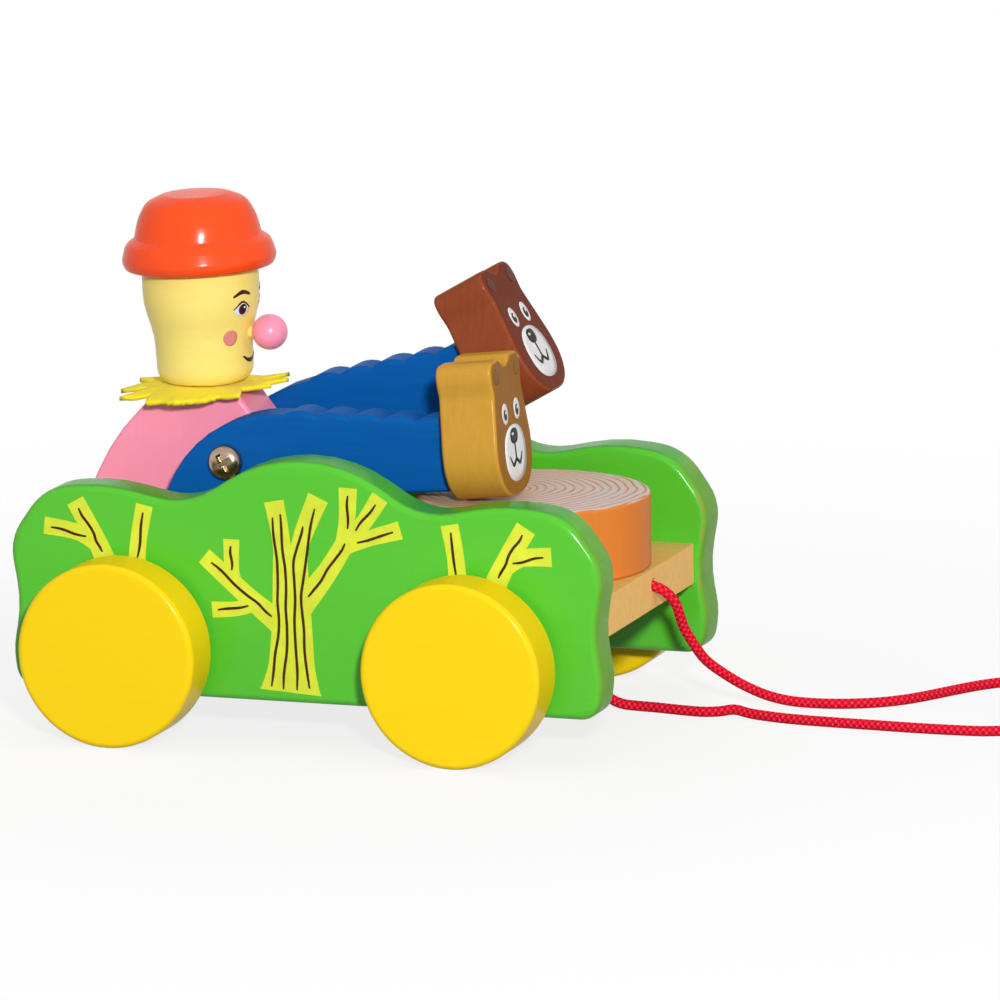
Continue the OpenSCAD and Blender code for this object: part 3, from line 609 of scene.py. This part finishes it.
def cord_route():
    """The cord's middle line: the front strand, the coil and the strand under the deck."""
    way_in = Vector((math.sin(COIL_FIRST), -math.cos(COIL_FIRST), 0))
    way_out = Vector((math.sin(COIL_LAST), -math.cos(COIL_LAST), 0))
    wound = [coil_point(i / COIL_RINGS) for i in range(int(COIL_TURNS * COIL_RINGS) + 1)]
    wound.append(coil_point(COIL_TURNS))
    start, finish = wound[0] - CORD_D * way_in, wound[-1] + CORD_D * way_out
    front = [
        (75, CORD_Y, CORD_Z), (78.5, CORD_Y, CORD_Z), (81.3, 4.3, 36.8), (83.7, 4.9, 35.1),
        (85.3, 6, 32.6), (85.9, 7.6, 29.3), (86.5, 9.5, 25.3),
        (88.4, 11.7, 20.6), (91, 14.4, 15.6), (95.2, 18, 11.2), (99.8, 22, 7.3), (104.5, 26.2, 4.2),
        (109.4, 30, 2.2), (115, 32.4, 1.4), (121, 33, 1.4), (127, 35, 1.4), (133, 38.4, 1.4),
        (138.6, 44, 1.4), (143.4, 51.4, 1.4), (148, 59.6, 1.4), (153, 67.4, 1.4), (159, 73.4, 1.4),
        (166, 76.4, 1.4), (174, 76, 1.5), (182, 72.8, 1.8), start - LEAD_L * way_in, start,
    ]
    under = [
        (CORD_DOWN_X, CORD_Y, 35), (CORD_DOWN_X, CORD_Y, 29), (62, 4.8, 22), (62, 6.8, 15), (62.4, 9.8, 8.6),
        (64, 13.2, 3.9), (67, 15.2, 1.9), (71.4, 16, 1.4), (77, 15.4, 1.4), (83.4, 14.2, 1.4),
        (90, 13.6, 1.4), (95, 14.1, 1.7), (99, 14.7, 2.3), (104, 14, 1.6), (112, 12.2, 1.4), (120, 11, 1.4),
        (129, 10.5, 1.4), (139, 10.2, 1.4), (150, 9.8, 1.4), (161, 10, 1.4), (171, 11.2, 1.4),
        (181, 14.4, 1.9), (189.6, 19.4, 3.2), finish + LEAD_L * way_out, finish,
    ]
    return spline(front, LEAD_STEPS)[:-1] + [start] + wound + spline(under, LEAD_STEPS)[::-1]


def evenly(points, step):
    """The same line with points at even distances, and its length."""
    made, left = [points[0]], step
    length = 0.0
    for a, b in zip(points, points[1:]):
        span = (b - a).length
        length += span
        at = 0.0
        while span - at >= left:
            at += left
            made.append(a + (b - a) * at / span)
            left = step
        left -= span - at
    return made + [points[-1]], length


def cord_tube(path):
    """Points, faces and UV corners of a tube along a path, with both ends closed."""
    points, faces, uvs = [], [], []
    normal = Vector((0, 1, 0))
    for i, p in enumerate(path):
        way = way_at(path, i)
        normal = (normal - way * normal.dot(way)).normalized()
        other = way.cross(normal)
        for k in range(CORD_SIDES):
            angle = 2 * math.pi * k / CORD_SIDES
            points.append(p + CORD_D / 2 * (math.cos(angle) * normal + math.sin(angle) * other))
    for i in range(1, len(path)):
        before, here = (i - 1) * CORD_SIDES, i * CORD_SIDES
        for k in range(CORD_SIDES):
            m = (k + 1) % CORD_SIDES
            faces.append([before + k, before + m, here + m, here + k])
            first, last = k / CORD_SIDES, (k + 1) / CORD_SIDES
            uvs += [((i - 1) * CORD_STEP, first), ((i - 1) * CORD_STEP, last)]
            uvs += [(i * CORD_STEP, last), (i * CORD_STEP, first)]
    first_ring = list(range(CORD_SIDES))
    last_ring = [(len(path) - 1) * CORD_SIDES + k for k in first_ring]
    faces += [first_ring[::-1], last_ring]
    uvs += [(0, 0)] * (2 * CORD_SIDES)
    return points, faces, uvs


def make_cord():
    """The whole cord as one tube, in place of the source's strands and coil."""
    path, length = evenly(cord_route(), CORD_STEP)
    points, faces, uvs = cord_tube(path)
    mesh = bpy.data.meshes.new("pull_cord")
    mesh.from_pydata([p * MM for p in points], [], faces)
    layer = mesh.uv_layers.new(name="braid")
    layer.data.foreach_set("uv", [c for uv in uvs for c in uv])
    cord = add_piece("pull_cord", mesh, cord_red, "chassis", "cord_fabric")
    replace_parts(cord, "cord_lead_front", "cord_lead_under", "cord_coil")
    [p * MM for p in path]


make_cord()


# Felt ruff: a zigzag disc that droops at the back and sides and is lifted in front, clear of the arms

RUFF_SEED = 4
RUFF_POINTS = 14
RUFF_TURN = 6 / 360
RUFF_TIP, RUFF_NOTCH = 23.8, 15.4
RUFF_SIDE_TIP, RUFF_SIDE_NOTCH = 19.8, 18.4
RUFF_END_FROM, RUFF_END_SPAN = 0.35, 0.45
RUFF_TIP_CHANCE, RUFF_NOTCH_CHANCE, RUFF_OUTWARD = 1.2, 0.8, 0.3
RUFF_RAGGED = 0.28
RUFF_HOLE = 3.3
RUFF_T, RUFF_THINNED = 1.9, 0.4
RUFF_OVER_BODY = 0.02
RUFF_FLAT = 11.0
RUFF_LIFT, RUFF_DROOP, RUFF_SAG = 0.17, 0.09, 0.2
RUFF_SAG_AT = math.radians(235)
RUFF_FRONT_FROM, RUFF_FRONT_SPAN = 0.45, 0.5
RUFF_CURL, RUFF_CURL_L = 0.7, 12
RUFF_STEPS, RUFF_RINGS = 12, 14


def ruff_reach(chance, side, end, tooth, spread):
    """How far a tip or notch reaches: one length at the sides, another at the ends, and a bit by chance."""
    across = abs(math.cos(2 * math.pi * (tooth / RUFF_POINTS + RUFF_TURN)))
    part = ramp(across, RUFF_END_FROM, RUFF_END_SPAN)
    return side + (end - side) * part + chance.uniform(-spread, spread * RUFF_OUTWARD)


def make_ruff():
    chance = random.Random(RUFF_SEED)
    neck = middle("neck_dowel")
    base = high("driver_body").z + RUFF_OVER_BODY
    teeth = range(RUFF_POINTS)
    tips = [ruff_reach(chance, RUFF_SIDE_TIP, RUFF_TIP, k, RUFF_TIP_CHANCE) for k in teeth]
    notches = [ruff_reach(chance, RUFF_SIDE_NOTCH, RUFF_NOTCH, k + 0.5, RUFF_NOTCH_CHANCE) for k in teeth]
    curls = [chance.uniform(-RUFF_CURL, RUFF_CURL) for _ in teeth]
    around = RUFF_POINTS * RUFF_STEPS
    ragged = [chance.uniform(-RUFF_RAGGED, RUFF_RAGGED) for _ in range(around)]

    def edge(turn):
        tooth = turn * RUFF_POINTS
        k, part = int(tooth) % RUFF_POINTS, tooth % 1
        rough = ragged[round(turn * around) % around]
        if part < 0.5:
            return tips[k] + (notches[k] - tips[k]) * part * 2 + rough
        return notches[k] + (tips[(k + 1) % RUFF_POINTS] - notches[k]) * (part * 2 - 1) + rough

    def lay(turn, part, height):
        angle = 2 * math.pi * (turn + RUFF_TURN)
        radius = RUFF_HOLE + part * (edge(turn) - RUFF_HOLE)
        tooth = turn * RUFF_POINTS
        curl = curls[int(tooth + 0.5) % RUFF_POINTS] * max(0, math.cos(2 * math.pi * (tooth % 1)))
        out = max(0, radius - RUFF_FLAT)
        front = ramp(math.cos(angle), RUFF_FRONT_FROM, RUFF_FRONT_SPAN)
        front = front * front * (3 - 2 * front)
        droop = RUFF_DROOP + RUFF_SAG * max(0, math.cos(angle - RUFF_SAG_AT)) ** 2
        rise = out * (RUFF_LIFT * front - droop * (1 - front))
        rise += curl * (out / RUFF_CURL_L) ** 2 * (1 - front)
        thin = height * (1 - RUFF_THINNED * part)
        return (neck.x + radius * math.cos(angle), neck.y + radius * math.sin(angle), base + rise + thin)

    flat = [(i / around, k / RUFF_RINGS) for k in range(RUFF_RINGS + 1) for i in range(around)]
    tiles = []
    for k in range(RUFF_RINGS):
        for i in range(around):
            j = (i + 1) % around
            tiles.append([k * around + i, k * around + j, (k + 1) * around + j, (k + 1) * around + i])
    points, faces = slab([(flat, tiles)], lay, RUFF_T)
    ruff = piece("felt_ruff", points, faces, felt_yellow, "chassis", "ruff_felt")
    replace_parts(ruff, "ruff")


make_ruff()


# Pivot screws with a cross recess

SCREW_SHANK_R, SCREW_SHANK_L = 2.2, 6
SCREW_HEAD_R, SCREW_HEAD_H = 4.8, 3.2
# The pan head from its seat to its crown: how far in from the rim, and how high
SCREW_PAN = [(0.1, 0), (0, 0.25), (0, 0.9), (0.3, 1.6), (0.9, 2.3), (1.8, 2.8), (3.0, 3.1)]
SCREW_SIDES = 48
SCREW_TURN = {NEAR: 0.5, FAR: 1.1}
RECESS_L, RECESS_W, RECESS_DEPTH = 6.2, 1.7, 1.9
RECESS_TAPER, RECESS_OVER = 0.72, 0.6
SLIVER = 0.002


def cut_away(target, cutter):
    """Takes the cutter's volume out of the target's mesh for good, and clears slivers."""
    boolean = target.modifiers.new("cut", "BOOLEAN")
    boolean.operation = "DIFFERENCE"
    boolean.solver = "EXACT"
    boolean.object = cutter
    bpy.context.view_layer.update()
    done = bpy.data.meshes.new_from_object(target.evaluated_get(bpy.context.evaluated_depsgraph_get()))
    shell = bmesh.new()
    shell.from_mesh(done)
    bmesh.ops.remove_doubles(shell, verts=shell.verts, dist=SLIVER * MM)
    bmesh.ops.dissolve_degenerate(shell, edges=shell.edges, dist=SLIVER * MM)
    shell.to_mesh(done)
    shell.free()
    target.modifiers.clear()
    target.data = done
    bpy.data.objects.remove(cutter)


def turned_screw(at):
    """Points and faces of a screw turned about its axis, laid by at(x, z, out)."""
    rows = [(SCREW_SHANK_R, -SCREW_SHANK_L), (SCREW_SHANK_R, 0)]
    rows += [(SCREW_HEAD_R - inset, height) for inset, height in SCREW_PAN]
    points, faces = [at(0, 0, -SCREW_SHANK_L), at(0, 0, SCREW_HEAD_H)], []
    for radius, out in rows:
        for i in range(SCREW_SIDES):
            angle = 2 * math.pi * i / SCREW_SIDES
            points.append(at(radius * math.cos(angle), radius * math.sin(angle), out))
    starts = [2 + k * SCREW_SIDES for k in range(len(rows))]
    for i in range(SCREW_SIDES):
        j = (i + 1) % SCREW_SIDES
        faces.append([0, starts[0] + i, starts[0] + j])
        faces.append([1, starts[-1] + i, starts[-1] + j])
        for a, b in zip(starts, starts[1:]):
            faces.append([a + i, b + i, b + j, a + j])
    return points, faces


def tapered_bar(at, half_x, half_z):
    """Points and faces of one bar of the cross, which narrows to its floor."""
    corners = [(x, z) for x in (-half_x, half_x) for z in (-half_z, half_z)]
    points = [at(x * RECESS_TAPER, z * RECESS_TAPER, SCREW_HEAD_H - RECESS_DEPTH) for x, z in corners]
    points += [at(x, z, SCREW_HEAD_H + RECESS_OVER) for x, z in corners]
    return points, [[0, 1, 3, 2], [4, 6, 7, 5], [0, 4, 5, 1], [2, 3, 7, 6], [0, 2, 6, 4], [1, 5, 7, 3]]


def make_screw(side):
    """A screw on its side of the body, with its recess cut in."""
    pivot = middle("pivot_screws")
    seat = high("pivot_screws").y - SCREW_HEAD_H
    c, s = math.cos(SCREW_TURN[side]), math.sin(SCREW_TURN[side])

    def at(x, z, out):
        return (pivot.x + x * c - z * s, side * (seat + out), pivot.z + x * s + z * c)

    points, faces = turned_screw(at)
    name = f"pivot_screw_{SIDE_NAMES[side]}"
    screw = piece(name, points, faces, screw_metal, "chassis", "screw_metal")
    for half_x, half_z in ((RECESS_L / 2, RECESS_W / 2), (RECESS_W / 2, RECESS_L / 2)):
        points, faces = tapered_bar(at, half_x, half_z)
        cut_away(screw, piece("recess", points, faces, screw_metal, "chassis", "screw_metal", smooth=False))
    screw.data.set_sharp_from_angle(angle=SMOOTH_ANGLE)
    return screw


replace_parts(make_screw(NEAR), "pivot_screws")
make_screw(FAR)


# Tree print on the panels' outer faces: bands [points], [widths], in the panel's X and Z

TREE = [
    ([(-4, 14.6), (-3.6, 22), (-3.4, 34), (-3.6, 52)], [17.5, 13, 11.2, 9.5]),
    ([(-5.4, 48), (-6.2, 57), (-8, 66.4)], [5.4, 5, 5.6]),
    ([(-1.6, 46), (-0.4, 56), (4.6, 68)], [5.6, 5, 6]),
    ([(-5, 32), (-15, 39.5), (-28, 50.5)], [7, 5.4, 4.8]),
    ([(-17.4, 41), (-20, 46), (-20.2, 55.4)], [4, 4, 4.6]),
    ([(-13.4, 38.4), (-19, 36.6), (-26, 36)], [4, 4, 4.4]),
    ([(-1, 38), (6.6, 47.6), (13.2, 58)], [7, 5.6, 5]),
    ([(11.4, 55), (12.6, 62), (13, 71)], [4.6, 4.6, 5.2]),
    ([(12, 56), (17.4, 62), (22, 69)], [4.4, 4.4, 5]),
    ([(11, 54.6), (18.4, 57.6), (27.6, 60.4)], [4.2, 4.2, 5]),
]
REAR_TWIGS = [
    ([(-55.4, 46), (-58.6, 53), (-64.6, 63.6)], [6, 5.4, 5.2]),
    ([(-58, 51.6), (-64, 55), (-73.6, 56.4)], [4.4, 4.4, 4.8]),
    ([(-47.4, 46), (-46.6, 54), (-44.8, 63.4)], [5, 4.6, 4.8]),
]
FRONT_TWIGS = [
    ([(43.6, 46), (43, 54), (41.4, 62.6)], [5, 4.8, 5]),
    ([(53.6, 46), (57, 53), (62.8, 62.8)], [6.4, 5.6, 5.8]),
    ([(56, 51), (61.4, 54.6), (69.8, 55.4)], [4.6, 4.6, 5.2]),
]
GRAIN_LINES = [
    [(-9.4, 16), (-7.4, 30), (-7.2, 44), (-8.4, 62)], [(-6, 15.4), (-4.8, 32), (-5.2, 48), (-6.2, 63)],
    [(-2.2, 15.4), (-2.4, 34), (-2.4, 50), (0.2, 60)], [(1.4, 16), (-0.2, 32), (0, 46), (3.6, 65)],
    [(-9, 35), (-16, 40.6), (-26, 48.8)], [(-20.2, 47), (-20.4, 53.6)], [(-15.6, 37.6), (-24.4, 36)],
    [(1.4, 41), (7, 48.4), (12, 56)], [(12.8, 60), (13, 69)], [(15, 59.6), (20.8, 67)],
    [(15.4, 56.4), (25.6, 59.8)],
    [(-57, 50), (-59.6, 55), (-63.6, 61.6)], [(-61.6, 54), (-71.6, 56)], [(-47, 49), (-45.2, 61.4)],
    [(43.2, 49), (41.8, 60.6)], [(55, 49), (58, 55), (61.8, 61)], [(59, 53.2), (67.6, 55.2)],
]
LINE_W, LINE_END_W = 0.72, 0.4
WAVE_H, WAVE_STEPS = 0.25, 3
WAVE_PACE, WAVE_SHIFT = 1.9, 2.3
# Each limb and line lies a little higher than the one before, so that crossings don't share a face
LIMB_AT, LINE_AT, NEXT = 0.05, 0.17, 0.006


def waved(points, shift):
    """The same line with a gentle hand-drawn wave."""
    path = spline(points, WAVE_STEPS)
    made = [path[0]]
    for i, (a, b) in enumerate(zip(path[1:-1], path[2:])):
        way = (b - a).normalized()
        made.append(a + Vector((-way.y, way.x)) * WAVE_H * math.sin(WAVE_PACE * i + shift))
    return made + [path[-1]]


def grain_line(i):
    """One of the bark's lines, thinner at its ends."""
    path = waved(GRAIN_LINES[i], WAVE_SHIFT * i)
    return ribbon(path, [LINE_END_W] + [LINE_W] * (len(path) - 2) + [LINE_END_W])


def print_tree(side):
    """The print on one panel's outer face, at the same X and Z on both."""
    outer = high("side_panel_far").y

    def place(x, z, height):
        return (x, side * (outer + height), z)

    limbs = [ribbon(p, w) for p, w in TREE + REAR_TWIGS + FRONT_TWIGS]
    lines = [grain_line(i) for i in range(len(GRAIN_LINES))]
    layers = [("limbs", ink_lime, limbs, LIMB_AT), ("lines", ink_brown, lines, LINE_AT)]
    for layer, ink, shapes, height in layers:
        points, faces = [], []
        for i, shape in enumerate(shapes):
            more, tiles = slab([shape], place, height + i * NEXT)
            faces += [[len(points) + k for k in tile] for tile in tiles]
            points += more
        name = f"tree_{layer}_{SIDE_NAMES[side]}"
        piece(name, points, faces, ink, "chassis", "panel_paint", smooth=False)


print_tree(NEAR)
print_tree(FAR)


# Bear faces on the hammers' front, in each head's own Y and Z: places, half sizes, and lines with widths

BEAR_EYES, BEAR_EARS = [(-4.7, 10), (4.7, 10)], [(-8.0, 20.6), (8.0, 20.6)]
EYE_SIZE, PUPIL_SIZE, GLINT_SIZE, EAR_SIZE = (2.3, 2.9), (1.15, 1.5), (0.4, 0.5), (2.1, 2.1)
PUPIL_SHIFT, GLINT_SHIFT = (0, -0.3), (0.4, 0.3)
MUZZLE, MUZZLE_POWER = (0, -1.2, 8.2, 7.6), 2.3
SNOUT, SNOUT_POWER = (0, 3.4, 2.9, 2.1), 2.4
SNOUT_GLINT = (-0.9, 4, 0.7, 0.4)
LIP = ([(0, 2), (0, -2.6)], [0.9, 0.9])
SMILE = ([(-4.8, -1.6), (-2.6, -4.2), (0, -3), (2.6, -4.2), (4.8, -1.6)], [0.5, 1.1, 1.1, 1.1, 0.5])
FIRST_COAT, SECOND_COAT, THIRD_COAT = 0.06, 0.11, 0.16
BEAR_INKS = {NEAR: (ink_ear_near, "tan_paint"), FAR: (ink_ear_far, "brown_paint")}


def bear_frame(side):
    """From a bear head's own millimetres (X out of the face) to the frame's."""
    pivot = middle("pivot_screws")
    shoulder = middle(f"arm_{SIDE_NAMES[side]}").y
    arm = Matrix.Translation((pivot.x, shoulder, pivot.z)) @ Matrix.Rotation(-ARM_LIFT[side], 4, "Y")
    head = Matrix.Translation((BEAR_REACH[side], 0, ARM_AXIS)) @ Matrix.Rotation(-BEAR_TILT[side], 4, "Y")
    return arm @ head


def paint_bear(side):
    """A plain bear's face in three coats of ink."""
    to_frame = bear_frame(side)
    ink_ear, slot = BEAR_INKS[side]

    def place(u, v, height):
        return to_frame @ Vector((BEAR_T + height, u, v))

    white = [blob(*MUZZLE, MUZZLE_POWER)] + blobs(BEAR_EYES, EYE_SIZE)
    ears = blobs(BEAR_EARS, EAR_SIZE)
    dark = blobs(BEAR_EYES, PUPIL_SIZE, PUPIL_SHIFT)
    dark += [blob(*SNOUT, SNOUT_POWER), ribbon(*LIP), ribbon(*SMILE)]
    glints = blobs(BEAR_EYES, GLINT_SIZE, GLINT_SHIFT) + [blob(*SNOUT_GLINT)]
    layers = [("muzzle", ink_white, FIRST_COAT, white), ("ears", ink_ear, FIRST_COAT, ears),
              ("features", ink_dark, SECOND_COAT, dark), ("glints", ink_white, THIRD_COAT, glints)]
    for layer, ink, height, shapes in layers:
        points, faces = slab(shapes, place, height)
        name = SIDE_NAMES[side]
        piece(f"bear_{layer}_{name}", points, faces, ink, f"arm_{name}_set", slot)


paint_bear(NEAR)
paint_bear(FAR)


# Driver's face: a calm doll's face round the head's front, in arc length and share of the head's height

HEAD_LEAN = math.radians(2.5)
CHIN_R = 13.0
FACE_R = 14.5
OUTSIDE = 60
GAZE_INWARD = 0.97
DRIVER_EYES, DRIVER_CHEEKS = [(-6.2, 0.66), (6.2, 0.66)], [(-9.4, 0.42), (9.4, 0.42)]
DRIVER_GAZE = [(arc * GAZE_INWARD, rise) for arc, rise in DRIVER_EYES]
DRIVER_SPOTS = [
    # name, ink, height, places, and half sizes and shift in millimetres
    ("eyes", ink_white, 0.06, DRIVER_EYES, (2.7, 1.9), (0, 0)),
    ("cheeks", ink_rose, 0.05, DRIVER_CHEEKS, (2.4, 2.2), (0, 0)),
    ("irises", ink_brown, 0.1, DRIVER_GAZE, (1.4, 1.5), (0, 0)),
    ("pupils", ink_dark, 0.14, DRIVER_GAZE, (0.7, 0.75), (0, 0)),
    ("glints", ink_white, 0.17, DRIVER_GAZE, (0.3, 0.3), (0.5, 0.5)),
]
LINES_HEIGHT = 0.12
BROW = ([(3.4, 0.78), (6.2, 0.81), (9.2, 0.775)], [0.6, 1.2, 0.5])
LID = ([(3.4, 0.665), (6.2, 0.725), (9.0, 0.665)], [0.3, 0.6, 0.3])
MOUTH = ([(-4.4, 0.24), (-2.2, 0.205), (0, 0.195), (2.2, 0.205), (4.4, 0.24)], [0.4, 1, 1.2, 1, 0.4])


def paint_driver():
    """The face, laid on the head by rays from outside toward its axis."""
    skin = nodes["driver_head"].data
    foot = Vector((middle("neck_dowel").x, 0, low("driver_head").z - CHIN_R * math.sin(HEAD_LEAN)))
    to_frame = Matrix.Translation(foot) @ Matrix.Rotation(-HEAD_LEAN, 4, "Y")
    tall = high("driver_head").z - low("driver_head").z
    unit = 1 / tall
    tree = BVHTree.FromPolygons([v.co / MM for v in skin.vertices], [p.vertices for p in skin.polygons])

    def place(arc, rise, height):
        angle = arc / FACE_R
        out = Vector((math.cos(angle), math.sin(angle), 0))
        start = to_frame @ (OUTSIDE * out + Vector((0, 0, rise * tall)))
        out = to_frame.to_3x3() @ out
        hit = tree.ray_cast(start, -out)[0]
        return hit + out * height

    def line(points, widths, side=1):
        flat, tiles = ribbon([(side * arc, rise * tall) for arc, rise in points], widths)
        return [(arc, rise * unit) for arc, rise in flat], tiles

    def paint(layer, ink, height, shapes):
        points, faces = slab(shapes, place, height)
        piece(f"driver_{layer}", points, faces, ink, "chassis", "head_paint")

    for layer, ink, height, places, size, shift in DRIVER_SPOTS:
        paint(layer, ink, height, blobs(places, (size[0], size[1] * unit), (shift[0], shift[1] * unit)))
    lines = [line(*stroke, side) for stroke in (BROW, LID) for side in (-1, 1)]
    paint("brows_and_mouth", ink_brown, LINES_HEIGHT, lines + [line(*MOUTH)])


paint_driver()


# Studio: a pale floor that keeps the shadow and fades to white, white surroundings and five lamps

FLOOR_SIZE = 12.0
FLOOR_SEEN, FLOOR_BOUNCE = linear(244, 244, 244), linear(150, 150, 150)
FLOOR_GLOW = 0.8
SHADOW_NEAR, SHADOW_FAR = 0.14, 0.42
WORLD_LIGHT = 0.32
WHITE = (1, 1, 1, 1)


def seen_directly(tree):
    """1 for rays that show the surroundings themselves: from the camera, a reflection or through glass."""
    path = tree.nodes.new("ShaderNodeLightPath").outputs
    seen = path["Is Camera Ray"]
    for ray in ("Is Glossy Ray", "Is Transmission Ray"):
        either = tree.nodes.new("ShaderNodeMath")
        either.operation = "MAXIMUM"
        tree.links.new(seen, either.inputs[0])
        tree.links.new(path[ray], either.inputs[1])
        seen = either.outputs[0]
    return seen


def make_floor():
    """The floor: grey where light bounces, pale where it is seen, and plain white away from the toy."""
    mesh = bpy.data.meshes.new("floor")
    half = FLOOR_SIZE / 2
    corners = [(-half, -half, 0), (half, -half, 0), (half, half, 0), (-half, half, 0)]
    mesh.from_pydata(corners, [], [[0, 1, 2, 3]])
    floor = bpy.data.objects.new("floor", mesh)
    scene.collection.objects.link(floor)
    look = Look("floor_white", ior=1.5, gloss=0.0, Roughness=0.9)
    seen = seen_directly(look.tree)
    look.to_shader("Base Color", look.mix(seen, FLOOR_BOUNCE, FLOOR_SEEN))
    glow = look.add("ShaderNodeEmission", {"Color": WHITE, "Strength": 1.0})
    white = look.ranged(look.distance((0, 0, 0)), (SHADOW_NEAR, SHADOW_FAR), (FLOOR_GLOW, 1.0))
    factor = look.math("MULTIPLY", seen, white)
    blend = look.add("ShaderNodeMixShader", {0: factor, 1: look.shader.outputs[0], 2: glow.outputs[0]})
    look.join(blend.outputs[0], look.tree.nodes["Material Output"].inputs["Surface"])
    mesh.materials.append(look.material)


def make_world():
    """Surroundings that are seen as white and light the toy more softly."""
    world = bpy.data.worlds.new("studio")
    world.use_nodes = True
    scene.world = world
    tree = world.node_tree
    strength = tree.nodes.new("ShaderNodeMapRange")
    strength.inputs["To Min"].default_value = WORLD_LIGHT
    strength.inputs["To Max"].default_value = 1.0
    tree.links.new(seen_directly(tree), strength.inputs["Value"])
    back = tree.nodes["Background"]
    back.inputs["Color"].default_value = WHITE
    tree.links.new(strength.outputs["Result"], back.inputs["Strength"])


LAMP_AIM = Vector((0.0, 0.0, 0.06))
LAMPS = [
    # name, place and size in metres, power in watts, and whether it shows in reflections
    ("key", (0.64, -1.41, 0.58), 0.12, 20.8, True),
    ("front", (1.65, -0.35, 0.45), 0.8, 4.0, False),
    ("rear", (-1.3, -0.9, 0.9), 0.8, 3.0, False),
    ("back", (-0.6, 1.5, 0.75), 0.9, 9.0, False),
    ("top", (0.05, 0.2, 1.5), 1.0, 2.4, False),
]


def make_lamps():
    """A small key lamp near the camera and broad fill lamps, all turned to the toy."""
    for name, place, size, power, shows in LAMPS:
        data = bpy.data.lights.new(name, "AREA")
        data.shape = "DISK"
        data.size = size
        data.energy = power
        lamp = bpy.data.objects.new(name, data)
        lamp.location = place
        lamp.rotation_euler = (LAMP_AIM - Vector(place)).to_track_quat("-Z", "Y").to_euler()
        lamp.visible_glossy = shows
        scene.collection.objects.link(lamp)


make_floor()
make_world()
make_lamps()
scene.view_settings.view_transform = "Standard"
